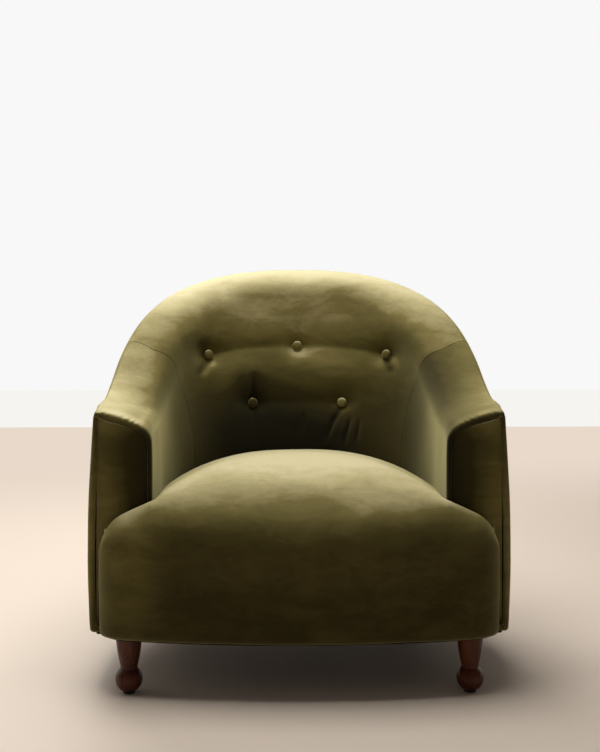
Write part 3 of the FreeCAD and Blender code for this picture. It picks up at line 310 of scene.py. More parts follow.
def link_mesh(name: str, points: Array, faces: list | Array, edges: list | None = None) -> Object:
    """A smooth-shaded mesh object at the origin.

    Args:
        name: the object's name.
        points: points in metres.
        faces: corner numbers of each face.
        edges: corner numbers of loose edges, if any.

    Returns:
        The linked object.
    """
    mesh = bpy.data.meshes.new(name)
    mesh.from_pydata(points.tolist(), edges or [], [list(map(int, face)) for face in faces])
    mesh.shade_smooth()
    return link(name, mesh)


def new_object(name: str, points: Array, faces: list | Array, edges: list | None = None) -> Object:
    """A smooth-shaded mesh object from points in millimetres and depths."""
    return link_mesh(name, to_frame(points), faces, edges)


@contextmanager
def reshaping(piece: Object) -> Iterator[bmesh.types.BMesh]:
    """A piece's mesh to work on, which is written back at the end.

    Args:
        piece: the mesh object.

    Returns:
        The mesh, for the time of the block.
    """
    work = bmesh.new()
    work.from_mesh(piece.data)
    yield work
    work.to_mesh(piece.data)
    work.free()


def settle(piece: Object) -> None:
    """Turn a piece's modifiers into its plain mesh.

    Args:
        piece: the mesh object, whose modifiers go.
    """
    graph = bpy.context.evaluated_depsgraph_get()
    mesh = bpy.data.meshes.new_from_object(piece.evaluated_get(graph), preserve_all_data_layers=True, depsgraph=graph)
    piece.modifiers.clear()
    old, piece.data = piece.data, mesh
    bpy.data.meshes.remove(old)
    mesh.name = piece.name


def clean(piece: Object) -> None:
    """Merge doubled points and drop faces without area.

    Args:
        piece: the mesh object.
    """
    with reshaping(piece) as work:
        bmesh.ops.remove_doubles(work, verts=work.verts, dist=MERGE)
        bmesh.ops.dissolve_degenerate(work, edges=work.edges, dist=MERGE)
    piece.data.shade_smooth()


def thicken(piece: Object, thickness: float) -> None:
    """Give an open skin a closed body behind the side that shows, in millimetres.

    Args:
        piece: the skin's object.
        thickness: how thick the body gets.
    """
    solid = piece.modifiers.new("body", "SOLIDIFY")
    solid.thickness = thickness * MM
    solid.offset = -1
    solid.use_rim = True
    settle(piece)


def read_vertices(piece: Object, what: str) -> Array:
    """The `normal` or the `co` of each vertex of a piece.

    Args:
        piece: the mesh object.
        what: `normal` or `co`.

    Returns:
        Three numbers for each vertex.
    """
    values = np.zeros(len(piece.data.vertices) * 3)
    piece.data.vertices.foreach_get(what, values)
    return values.reshape(-1, 3)


@dataclass(frozen=True)
class PaintedPatch:
    """A place, as seen from the front, with painted shade or painted light that makes the tone darker or lighter."""

    x: float
    z: float
    half_width: float
    half_height: float
    change: float
    depth: float = 0.0
    half_depth: float = 1e4
    fade: float = 1.4

    def at(self, x: Array, z: Array, depth: Array) -> Array:
        """How much the painted light or shade changes the tone at these places.

        Args:
            x: places across the chair.
            z: their heights.
            depth: their depths.

        Returns:
            A change for each place.
        """
        far = ((x - self.x) / self.half_width) ** 2 + ((z - self.z) / self.half_height) ** 2
        far += ((depth - self.depth) / self.half_depth) ** 2
        return self.change * np.exp(-far ** self.fade)


def paint_light_and_shade(piece: Object, painted_patches: tuple = ()) -> None:
    """Store painted light and shade: pale on faces that look up, as if lit from above, and deep on standing ones.

    Args:
        piece: the velvet piece, with its final mesh.
        painted_patches: places with painted light or shade, and folds with painted shade in their furrows and painted
            light on their ridges.
    """
    # Painted light: faces that look up are made paler, as light from above makes them; the patches add painted light
    # and shade
    level = np.clip(read_vertices(piece, "normal")[:, 2] / LEVEL_NORMAL, 0, 1)
    x, y, z = (read_vertices(piece, "co") / MM).T
    painted_tone = STANDING + LEVEL_MORE * level ** LEVEL_POWER
    for place in painted_patches:
        painted_tone += place.at(x, z, y - FRONT_Y / MM)
    attribute = piece.data.attributes.new(PAINTED_LIGHT_ATTRIBUTE, "FLOAT", "POINT")
    attribute.data.foreach_set("value", painted_tone.astype(np.float32))


def hand_over(piece: Object, material: Material, nodes: tuple[str, ...] = ()) -> None:
    """Give a finished piece its material, its place on the frame and the nodes that it stands for.

    Args:
        piece: the finished piece.
        material: the material to show.
        nodes: CAD nodes that the piece replaces.
    """
    piece.data.materials.clear()
    piece.data.materials.append(material)
    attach(piece, BODY)
    if nodes:
        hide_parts(*nodes)
    LOG.info("%s: %d faces, stands for %s", piece.name, len(piece.data.polygons), ", ".join(nodes) or "nothing")


# Node trees


class Graph:
    """Short hand for building a node tree."""

    def __init__(self, tree: Tree) -> None:
        """Keep the tree to build in."""
        self.tree = tree

    def add(self, kind: str, values: dict | None = None, **settings: object) -> bpy.types.Node:
        """A new node.

        Args:
            kind: the node's type name.
            values: inputs by name or number: a value, or the output socket that feeds it.
            settings: properties of the node.

        Returns:
            The node.
        """
        node = self.tree.nodes.new(kind)
        for name, value in settings.items():
            setattr(node, name, value)
        self.feed(node, values or {})
        return node

    def feed(self, node: bpy.types.Node, values: dict) -> None:
        """Set a node's inputs, each to a value or to the output socket that feeds it.

        Args:
            node: the node.
            values: values or sockets by the input's name or number.
        """
        for key, value in values.items():
            if isinstance(value, Socket):
                self.tree.links.new(value, node.inputs[key])
            else:
                node.inputs[key].default_value = value

    def math(self, operation: str, *values: object, clamp: bool = False) -> Socket:
        """Output of a Math node."""
        return self.add("ShaderNodeMath", dict(enumerate(values)), operation=operation, use_clamp=clamp).outputs[0]

    def blend(self, first: Socket, second: Socket, share: float) -> Socket:
        """Two values added up, the first with its share and the second with the rest."""
        return self.math("MULTIPLY_ADD", first, share, self.math("MULTIPLY", second, round(1 - share, 4)))

    def noise(self, place: Socket, scale: object, detail: object, roughness: float = 0.5,
              distortion: float = 0.0) -> Socket:
        """Value of a Noise Texture node."""
        return self.add("ShaderNodeTexNoise", {"Vector": place, "Scale": scale, "Detail": detail,
                                               "Roughness": roughness, "Distortion": distortion}).outputs[0]

    def ramp(self, factor: Socket, stops: tuple[tuple[float, tuple], ...]) -> Socket:
        """Colour output of a ramp through stops of (place, colour).

        Args:
            factor: what picks the colour.
            stops: the stops, in rising order.

        Returns:
            The socket.
        """
        node = self.add("ShaderNodeValToRGB", {0: factor})
        elements = node.color_ramp.elements
        while len(elements) < len(stops):
            elements.new(0.5)
        for element, (place, colour) in zip(elements, stops):
            element.position, element.color = place, colour
        return node.outputs[0]


class Group(Graph):
    """A node group with named inputs, whose sockets are in `inlet`."""

    def __init__(self, name: str, kind: str, inputs: dict[str, tuple[str, object]]) -> None:
        """Start the group.

        Args:
            name: the group's name.
            kind: the type of tree.
            inputs: socket type and default value, or None, for each input.
        """
        super().__init__(bpy.data.node_groups.new(name, kind))
        for label, (socket, value) in inputs.items():
            made = self.tree.interface.new_socket(name=label, in_out="INPUT", socket_type=socket)
            if value is not None:
                made.default_value = value
        self.inlet = self.add("NodeGroupInput").outputs

    def close(self, kind: str, outputs: dict[str, Socket]) -> Tree:
        """Give the group its outputs.

        Args:
            kind: their socket type.
            outputs: what feeds each of them.

        Returns:
            The finished tree.
        """
        for label in outputs:
            self.tree.interface.new_socket(name=label, in_out="OUTPUT", socket_type=kind)
        self.add("NodeGroupOutput", outputs)
        return self.tree


def linear(red: int, green: int, blue: int) -> tuple[float, float, float, float]:
    """A colour given in screen values from 0 to 255, as light."""
    shares_of = (value / 255 for value in (red, green, blue))
    return (*(s / 12.92 if s <= 0.04045 else ((s + 0.055) / 1.055) ** 2.4 for s in shares_of), 1.0)


def nap_group() -> Tree:
    """Brushed pile: soft strokes and patches of nap, and the fine height of the pile.

    Returns:
        The tree.
    """
    graph = Group("brushed_nap", "ShaderNodeTree", {
        "Vector": (VECTOR, None), "Stroke size": (FLOAT, 13.0), "Patch size": (FLOAT, 3.2),
        "Pile size": (FLOAT, 1100.0)})
    vector = graph.inlet["Vector"]
    drawn_out = graph.add("ShaderNodeMapping", {"Vector": vector, "Scale": (0.8, 1.3, 1.9)}).outputs[0]
    return graph.close(FLOAT, {
        "Stroke": graph.noise(drawn_out, graph.inlet["Stroke size"], 9.0, 0.68, 0.35),
        "Patch": graph.noise(vector, graph.inlet["Patch size"], 3.0, 0.5, 0.6),
        "Pile": graph.noise(vector, graph.inlet["Pile size"], 2.0)})


def grain_group() -> Tree:
    """Wood grain that runs along one axis: broad figure and fine pores.

    Returns:
        The tree.
    """
    graph = Group("wood_grain", "ShaderNodeTree", {
        "Vector": (VECTOR, None), "Stretch": (VECTOR, (1.0, 1.0, 0.12)), "Figure size": (FLOAT, 26.0),
        "Pore size": (FLOAT, 420.0)})
    along = graph.add("ShaderNodeMapping", {"Vector": graph.inlet["Vector"], "Scale": graph.inlet["Stretch"]})
    return graph.close(FLOAT, {
        "Figure": graph.noise(along.outputs[0], graph.inlet["Figure size"], 5.0, 0.6, 1.2),
        "Pores": graph.noise(along.outputs[0], graph.inlet["Pore size"], 3.0, 0.7)})


def weave_group() -> Tree:
    """A plain weave: threads that pass over and under each other in two directions, and their wear.

    Returns:
        The tree.
    """
    graph = Group("plain_weave", "ShaderNodeTree", {"Vector": (VECTOR, None), "Threads": (FLOAT, 900.0)})
    split = graph.add("ShaderNodeSeparateXYZ", {0: graph.inlet["Vector"]})
    waves = [graph.math("SINE", graph.math("MULTIPLY", split.outputs[axis], graph.inlet["Threads"]))
             for axis in range(3)]
    crossed = graph.math("ADD", graph.math("MULTIPLY", waves[0], waves[1]), graph.math("MULTIPLY", waves[2], waves[0]))
    return graph.close(FLOAT, {"Weave": graph.math("MULTIPLY_ADD", crossed, 0.25, 0.5),
                               "Wear": graph.noise(graph.inlet["Vector"], 14.0, 4.0)})


def speckle_group() -> Tree:
    """Small spots, as tarnish or scuffs make them.

    Returns:
        The tree.
    """
    graph = Group("small_spots", "ShaderNodeTree", {"Vector": (VECTOR, None), "Size": (FLOAT, 60.0),
                                                    "Detail": (FLOAT, 5.0)})
    return graph.close(FLOAT, {"Spots": graph.noise(graph.inlet["Vector"], graph.inlet["Size"],
                                                    graph.inlet["Detail"])})


def new_material(name: str) -> tuple[Material, Graph, bpy.types.Node, Socket]:
    """A material with its shader and the object coordinates.

    Args:
        name: the material's name.

    Returns:
        The material, its graph, the shader node and the coordinates' socket.
    """
    material = bpy.data.materials.new(name)
    material.use_nodes = True
    graph = Graph(material.node_tree)
    return (material, graph, material.node_tree.nodes["Principled BSDF"],
            graph.add("ShaderNodeTexCoord").outputs["Object"])


def bump(graph: Graph, height: Socket, strength: float, depth: float) -> Socket:
    """A normal from a height between 0 and 1, whose full range is a depth in metres."""
    return graph.add("ShaderNodeBump", {"Strength": strength, "Distance": depth, "Height": height}).outputs[0]


@dataclass(frozen=True)
class VelvetFinish:
    """Olive cotton velvet. Its tone follows painted light and shade, which each piece carries as an attribute."""

    name: str = "olive_velvet"
    # From painted shade at the low end, through the velvet's own olive, to painted highlight at the top
    tones: tuple = ((0.0, linear(12, 9, 2)), (0.5, linear(52, 45, 17)), (0.64, linear(84, 76, 36)),
                    (0.78, linear(124, 113, 66)), (0.93, linear(196, 185, 138)), (1.0, linear(218, 208, 166)))
    stroke_share: float = 0.62
    mottle: float = 0.4
    pile_shade: tuple[float, float] = (0.5, 0.74)
    roughness: tuple[float, float] = (-0.25, 0.98)
    specular: float = 0.12
    sheen: float = 0.66
    sheen_roughness: float = 0.45
    sheen_tint: tuple = linear(238, 228, 164)
    pile_bump: tuple[float, float] = (0.25, 0.0006)

    def build(self, group: Tree) -> Material:
        """The material, from the shared group of the nap.

        Args:
            group: the nap's group.

        Returns:
            The material.
        """
        material, graph, shader, place = new_material(self.name)
        nap = graph.add("ShaderNodeGroup", node_tree=group)
        graph.feed(nap, {"Vector": place})
        pile = nap.outputs["Pile"]
        both = graph.blend(nap.outputs["Stroke"], nap.outputs["Patch"], self.stroke_share)
        # Painted light and shade from the attribute, with the nap's random tone added
        painted_tone = graph.add("ShaderNodeAttribute", attribute_name=PAINTED_LIGHT_ATTRIBUTE).outputs["Fac"]
        tone = graph.math("MULTIPLY_ADD", both, self.mottle, graph.math("SUBTRACT", painted_tone, self.mottle / 2), clamp=True)
        shaded = graph.add("ShaderNodeVectorMath", {
            0: graph.ramp(tone, self.tones), "Scale": graph.math("MULTIPLY_ADD", pile, *self.pile_shade)},
            operation="SCALE")
        graph.feed(shader, {
            "Base Color": shaded.outputs[0], "Roughness": graph.math("MULTIPLY_ADD", both, *self.roughness),
            "Specular IOR Level": self.specular, "Sheen Weight": self.sheen, "Sheen Roughness": self.sheen_roughness,
            "Sheen Tint": self.sheen_tint, "Normal": bump(graph, pile, *self.pile_bump)})
        return material


@dataclass(frozen=True)
class Finish:
    """A surface whose colour, roughness and height follow the outputs of a shared pattern group.

    Attributes:
        name: the material's name.
        tones: stops of the colour ramp, as (place, colour).
        mixed: two outputs that pick the colour, and the share of the first.
        settings: inputs of the group.
        rough: the output that changes the roughness, how much, and the least roughness.
        raised: the output that makes the height, or None for the mixed one, the bump's strength and its depth.
        shader: further inputs of the shader.
    """

    name: str
    tones: tuple
    mixed: tuple[str, str, float]
    settings: tuple[tuple[str, object], ...]
    rough: tuple[str, float, float]
    raised: tuple[str | None, float, float]
    shader: tuple[tuple[str, float], ...] = ()

    def build(self, group: Tree) -> Material:
        """The material, from its shared group.

        Args:
            group: the pattern's group.

        Returns:
            The material.
        """
        material, graph, shader, place = new_material(self.name)
        pattern = graph.add("ShaderNodeGroup", node_tree=group)
        graph.feed(pattern, {"Vector": place, **dict(self.settings)})
        first, second, share = self.mixed
        both = graph.blend(pattern.outputs[first], pattern.outputs[second], share)
        varied, change, least = self.rough
        height, strength, depth = self.raised
        graph.feed(shader, {
            "Base Color": graph.ramp(both, self.tones),
            "Roughness": graph.math("MULTIPLY_ADD", pattern.outputs[varied], change, least),
            "Normal": bump(graph, pattern.outputs[height] if height else both, strength, depth), **dict(self.shader)})
        return material


def wood(name: str, dark: tuple, light: tuple, stretch: tuple, roughness: float, coat: float, depth: float) -> Finish:
    """Wood with figure and pores, bare or stained.

    Args:
        name: the material's name.
        dark: colour in the figure.
        light: colour between it.
        stretch: scale of the grain along each axis.
        roughness: middle roughness.
        coat: weight of the lacquer.
        depth: depth of the pores in metres.

    Returns:
        The finish.
    """
    return Finish(name, ((0.34, dark), (0.66, light)), ("Figure", "Pores", 0.72), (("Stretch", stretch),),
                  ("Pores", 0.16, roughness - 0.08), (None, 0.3, depth),
                  (("Specular IOR Level", 0.22), ("Coat Weight", coat), ("Coat Roughness", 0.22)))


def cloth(name: str, dark: tuple, light: tuple, threads: float, roughness: float) -> Finish:
    """Woven or felted cloth, or twisted thread, with its two colours, its count of threads and its roughness."""
    return Finish(name, ((0.25, dark), (0.75, light)), ("Weave", "Wear", 0.6), (("Threads", threads),),
                  ("Wear", 0.15, roughness - 0.08), ("Weave", 0.4, 0.0004))


WALNUT = wood("walnut_stain", linear(34, 12, 2), linear(98, 45, 11), (1.0, 1.0, 0.14), 0.4, 0.08, 0.0003)
BEECH = wood("bare_beech", linear(150, 112, 74), linear(196, 160, 116), (0.14, 0.6, 1.0), 0.62, 0.0, 0.0005)
BAND = cloth("jute_webbing", linear(96, 78, 52), linear(168, 146, 108), 2400.0, 0.9)
DUST = cloth("black_dust_cloth", linear(22, 22, 23), linear(46, 46, 48), 3200.0, 0.92)
TWINE = cloth("waxed_twine", linear(150, 132, 96), linear(206, 190, 150), 2600.0, 0.7)
STEEL = Finish("spring_steel", ((0.4, linear(120, 116, 108)), (0.6, linear(176, 178, 180))), ("Spots", "Spots", 1.0),
               (("Size", 60.0), ("Detail", 5.0)), ("Spots", 0.3, 0.2), ("Spots", 0.1, 0.0002), (("Metallic", 1.0),))
PLASTIC = Finish("glide_plastic", ((0.5, linear(38, 34, 32)), (0.8, linear(70, 64, 58))), ("Spots", "Spots", 1.0),
                 (("Size", 180.0), ("Detail", 4.0)), ("Spots", 0.3, 0.35), ("Spots", 0.2, 0.0002))


# Forms


@dataclass(frozen=True)
class WallForm:
    """The horseshoe wall of arms and back.

    The number that follows its plan curve is 0 at the right arm's front, 1 at the middle of the back and 2 at the
    left arm's front.
    """

    half: float = 303.0
    arm_front: float = 95.0
    bend: float = 240.0
    back_face: float = 575.0
    squareness: float = 2.8
    seat_line: float = 450.0
    arm_lean: float = 1.5
    back_lean: float = 12.5
    rim: float = 119.0
    base: float = 130.0
    arm_height: float = 566.0
    back_height: float = 853.0
    rise: tuple = (0.68, -3.7, 7.66)
    edge: float = 9.0
    edge_back: float = 38.0
    rim_slope: float = 8.0
    roll_drop: float = 66.0
    roll_swell: float = 34.0
    roll_turn: tuple = (29.0, 11.0)
    face_bend: float = 30.0
    bulge: float = 19.0
    bulge_less_back: float = 0.25
    bulge_less_front: float = 0.7
    inner_low: float = 290.0
    hem: float = 113.0
    seam_half: float = 250.0
    seam_depth: float = 468.0
    seam_slope: float = 9.0
    seam_low_back: float = 22.0
    seam_low: tuple = (530.0, 630.0)
    seam_rim_back: float = 34.0
    seam_rim: tuple = (330.0, 405.0)
    seam_last: float = 0.98
    straight: float = 0.25
    ease: float = 1.25

    def plan(self, along: Array) -> tuple[Array, Array, Array, Array]:
        """Inner plan curve.

        Args:
            along: numbers along the curve.

        Returns:
            x, depth, and the two parts of the direction outwards.
        """
        side = np.where(along <= 1, 1.0, -1.0)
        a = np.where(along <= 1, along, 2 - along)
        turn = QUARTER * np.clip((a - self.straight) / (1 - self.straight), 0, 1) ** self.ease
        power = 2 / self.squareness
        c, s = np.maximum(np.cos(turn), 1e-12), np.sin(turn)
        reach = self.back_face - self.bend
        on_arm = a < self.straight
        x = np.where(on_arm, self.half, self.half * c ** power)
        depth = np.where(on_arm, self.arm_front + (self.bend - self.arm_front) * a / self.straight,
                         self.bend + reach * s ** power)
        nx = np.where(on_arm, 1.0, c ** (2 - power) / self.half)
        ny = np.where(on_arm, 0.0, s ** (2 - power) / reach)
        length = np.hypot(nx, ny)
        return side * x, depth, side * nx / length, ny / length

    def rim_height(self, depth: Array) -> Array:
        """Height of the rim where the inner face lies at this depth.

        Args:
            depth: depths of the inner face.

        Returns:
            A height for each depth.
        """
        t = (depth - self.arm_front) / (self.back_face - self.arm_front)
        factors = self.rise + (1 - sum(self.rise),)
        risen = sum(factor * t ** power for power, factor in enumerate(factors, start=1))
        return self.arm_height + (self.back_height - self.arm_height) * risen

    def leaned(self, z: Array, lean: Array) -> Array:
        """Distance of the leaning face from the plan curve at a height."""
        return (z - self.seat_line) * np.tan(lean)

    def section(self, along: Array) -> dict[str, Array]:
        """Sizes of the upright sections that stand at these places.

        Args:
            along: numbers along the plan curve.

        Returns:
            The sizes by name, angles in radians.
        """
        _, depth, nx, ny = self.plan(along)
        lean = np.radians(self.arm_lean + (self.back_lean - self.arm_lean) * ny)
        rim = self.rim_height(depth)
        before = np.clip((self.bend - depth) / (self.bend - self.arm_front), 0, 1)
        return {"nx": nx, "ny": ny, "lean": lean, "rim": rim,
                "bulge": self.bulge * (1 - self.bulge_less_back * ny) * (1 - self.bulge_less_front * before ** 2),
                "edge": self.edge + (self.edge_back - self.edge) * ny,
                "slope": np.radians(self.rim_slope * (1 - ny)),
                "outer": self.rim + self.leaned(rim, lean)}

    def inner(self, along: Array, up: Array) -> tuple[Array, Array]:
        """The sitter's side of the wall.

        Args:
            along: numbers along the plan curve.
            up: 0 to 2 for the leaning face, then 1 each for the tight roll, the wide roll and the outer edge.

        Returns:
            Distance out of the plan curve, and height.
        """
        s = self.section(along)
        drop = self.roll_drop + self.roll_swell * 4 * s["ny"] * (1 - s["ny"])
        low = s["rim"] - drop
        start = self.leaned(low, s["lean"])
        angles = [QUARTER - s["lean"], np.radians(self.roll_turn[0] + self.roll_turn[1] * s["ny"]), s["slope"],
                  np.full_like(low, -QUARTER)]
        sines, cosines = [np.sin(angle) for angle in angles], [np.cos(angle) for angle in angles]
        # Radii of the tight and the wide roll, which together span the width and the drop
        width = s["outer"] - s["edge"] * (1 + sines[2]) - start
        a, b = sines[0] - sines[1], sines[1] - sines[2]
        c, d = cosines[1] - cosines[0], cosines[2] - cosines[1]
        tight = (width * d - b * drop) / (a * d - b * c)
        wide = (a * drop - c * width) / (a * d - b * c)
        z = self.inner_low + (low - self.inner_low) * np.clip(up / 2, 0, 1)
        eased, full = ((above + np.sqrt(above ** 2 + self.face_bend ** 2)) / 2
                       for above in (z - self.seat_line, low - self.seat_line))
        out = eased * start / full
        point = (start, low)
        for step, radius in enumerate((tight, wide, s["edge"])):
            centre = (point[0] + radius * sines[step], point[1] - radius * cosines[step])
            angle = angles[step] + (angles[step + 1] - angles[step]) * np.clip(up - 2 - step, 0, 1)
            here = up > 2 + step
            out = np.where(here, centre[0] - radius * np.sin(angle), out)
            z = np.where(here, centre[1] + radius * np.cos(angle), z)
            point = (centre[0] - radius * sines[step + 1], centre[1] + radius * cosines[step + 1])
        return out, z

    def outside(self, along: Array, share: Array) -> tuple[Array, Array]:
        """The swelling outside panel.

        Args:
            along: numbers along the plan curve.
            share: 0 at its lower edge, 1 where it meets the rim.

        Returns:
            Distance out of the plan curve, and height.
        """
        s = self.section(along)
        top = s["rim"] - s["edge"] * np.cos(s["slope"])
        out = self.base + (s["outer"] - self.base) * share + 4 * s["bulge"] * share * (1 - share)
        return out, self.hem + (top - self.hem) * share

    def place(self, along: Array, out: Array, z: Array) -> Array:
        """Section points in space."""
        x, depth, nx, ny = self.plan(along)
        return np.stack([x + nx * out, depth + ny * out, z + 0 * x], axis=-1)

    def seam_along(self, side: Callable[[Array, Array], tuple], rows: Array,
                   inside: bool) -> Array:
        """Where the rows of the right half meet the seam of arm and back.

        Args:
            side: `inner` or `outside`.
            rows: the heights or shares of the rows.
            inside: whether it is the sitter's side, where the seam runs further back down the face and at the rim.

        Returns:
            A number along the curve for each row.
        """
        def behind(along: Array) -> Array:
            """Whether the rows' points lie behind the seam.

            Args:
                along: a number along the curve for each row.

            Returns:
                True or false for each row.
            """
            points = self.place(along, *side(along, rows))
            reach = np.abs(points[:, 0])
            line = self.seam_depth + (self.seam_half - reach) * math.tan(math.radians(self.seam_slope))
            if inside:
                line = line + self.seam_low_back * (1 - smooth(points[:, 2], *self.seam_low))
                line = line + self.seam_rim_back * smooth(reach, *self.seam_rim)
            return points[:, 1] > line

        return bisect(np.full(len(rows), self.straight), np.full(len(rows), self.seam_last), behind)

    def side_depth(self, x: float, gap: float) -> float:
        """Depth of the inner face over the seat at a place x, less a gap.

        Args:
            x: the place across the seat.
            gap: clearance to the face.

        Returns:
            The depth.
        """
        reach = self.back_face - gap - self.bend
        share = min(abs(x) / (self.half - gap), 1.0)
        return self.bend + reach * (1 - share ** self.squareness) ** (1 / self.squareness)


@dataclass(frozen=True)
class Fold:
    """A pull fold in the back's velvet: a furrow with a ridge beside it, between two places seen from the front."""

    start: tuple[float, float]
    end: tuple[float, float]
    depth: float
    width: float
    ridge: float = 0.2
    shade: float = 0.075
    ridge_at: float = 1.7
    fade_in: tuple[float, float] = (-0.12, 0.3)
    fade_out: tuple[float, float] = (0.7, 1.15)

    def form(self, x: Array, z: Array) -> Array:
        """Form of the fold, -1 in its furrow.

        Args:
            x: places across the back.
            z: their heights.

        Returns:
            A number for each place.
        """
        start, run = np.array(self.start), np.array(self.end) - np.array(self.start)
        length = float(np.hypot(*run))
        along = ((x - start[0]) * run[0] + (z - start[1]) * run[1]) / length
        across = ((x - start[0]) * -run[1] + (z - start[1]) * run[0]) / length
        window = smooth(along, *(part * length for part in self.fade_in))
        window = window * (1 - smooth(along, *(part * length for part in self.fade_out)))
        furrow = -np.exp(-(across / self.width) ** 2)
        return window * (furrow + self.ridge * np.exp(-((across - self.ridge_at * self.width) / self.width) ** 2))

    def at(self, x: Array, z: Array, depth: Array) -> Array:
        """Painted shade in the fold's furrow and painted light on its ridge, at any depth."""
        return self.shade * self.depth * self.form(x, z)


@dataclass(frozen=True)
class Tufting:
    """Five buttons and the creases that run between them."""

    upper_mid: float = 668.0
    upper_side: float = 650.0
    upper_half: float = 212.0
    lower: float = 530.0
    lower_half: float = 108.0
    depth: float = 15.0
    radius: float = 19.0
    floor: float = 9.0
    stretch: float = 0.9
    fall: float = 1.15
    crease_above: float = 15.0
    crease_below: float = 26.0
    crease_blunt: float = 3.0
    crease_past: float = 4.0
    # Depth of each row's crease, and how far beyond its outer button it fades out
    upper_crease: tuple[float, float] = (7.0, 60.0)
    lower_crease: tuple[float, float] = (6.0, 55.0)
    # Swellings over the upper row and between the rows: height, half height and where they fade out
    top_pillow: tuple[float, float, tuple] = (3.0, 52.0, (180.0, 330.0))
    top_pillow_up: float = 70.0
    middle_pillow: tuple[float, float, tuple] = (5.0, 40.0, (150.0, 270.0))
    folds: tuple[Fold, ...] = (
        Fold((16, 506), (4, 442), 4.2, 5.5),
        Fold((104, 514), (62, 432), 6.0, 6.0),
        Fold((88, 500), (74, 430), 3.0, 5.0),
        Fold((130, 496), (112, 428), 4.6, 5.5),
        Fold((152, 494), (142, 432), 3.4, 5.5),
        Fold((-104, 508), (-98, 435), 2.2, 8.0),
        Fold((-110, 536), (-107, 600), 4.5, 9.0, 0.3, 0.05),
        Fold((-212, 640), (-246, 600), 3.0, 9.0, 0.4),
        Fold((214, 640), (232, 604), 3.0, 9.0, 0.4),
        Fold((-222, 662), (-244, 678), 1.8, 17.0, 0.3),
    )

    def spots(self) -> list[tuple[float, float]]:
        """Places of the buttons as (x, z)."""
        return [(0.0, self.upper_mid), (self.upper_half, self.upper_side), (-self.upper_half, self.upper_side),
                (self.lower_half, self.lower), (-self.lower_half, self.lower)]

    def valley(self, x: Array, off: Array, half: float, depth: float, fade: float) -> Array:
        """A crease, sharper above than below, that fades out beyond the buttons.

        Args:
            x: places across the back.
            off: their heights over the crease's line.
            half: the outer button of the row.
            depth: depth of the crease.
            fade: how far beyond the outer button it fades out.

        Returns:
            Its height, below zero.
        """
        width = np.where(off > 0, self.crease_above, self.crease_below)
        shape = np.exp(-(np.sqrt(off ** 2 + self.crease_blunt ** 2) - self.crease_blunt) / width)
        return -depth * shape * (1 - smooth(np.abs(x), half + self.crease_past, half + fade))

    def pillow(self, x: Array, off: Array, height: float, half_height: float,
               ends: tuple[float, float]) -> Array:
        """A soft swelling along a line, which fades out between two distances from the middle."""
        return height * np.exp(-(off / half_height) ** 2) * (1 - smooth(np.abs(x), *ends))

    def height(self, x: Array, z: Array) -> Array:
        """Height of the tufted face over the plain one.

        Args:
            x: places across the back.
            z: their heights.

        Returns:
            A height for each place.
        """
        upper = self.upper_mid + (self.upper_side - self.upper_mid) * (x / self.upper_half) ** 2
        total = self.valley(x, z - upper, self.upper_half, *self.upper_crease)
        total += self.valley(x, z - self.lower, self.lower_half, *self.lower_crease)
        total += self.pillow(x, z - upper - self.top_pillow_up, *self.top_pillow)
        total += self.pillow(x, z - (upper + self.lower) / 2, *self.middle_pillow)
        for button_x, button_z in self.spots():
            far = np.hypot((x - button_x) * self.stretch, z - button_z)
            total -= self.depth * np.exp(-(np.maximum(far - self.floor, 0) / self.radius) ** self.fall)
        return total + sum(fold.depth * fold.form(x, z) for fold in self.folds)


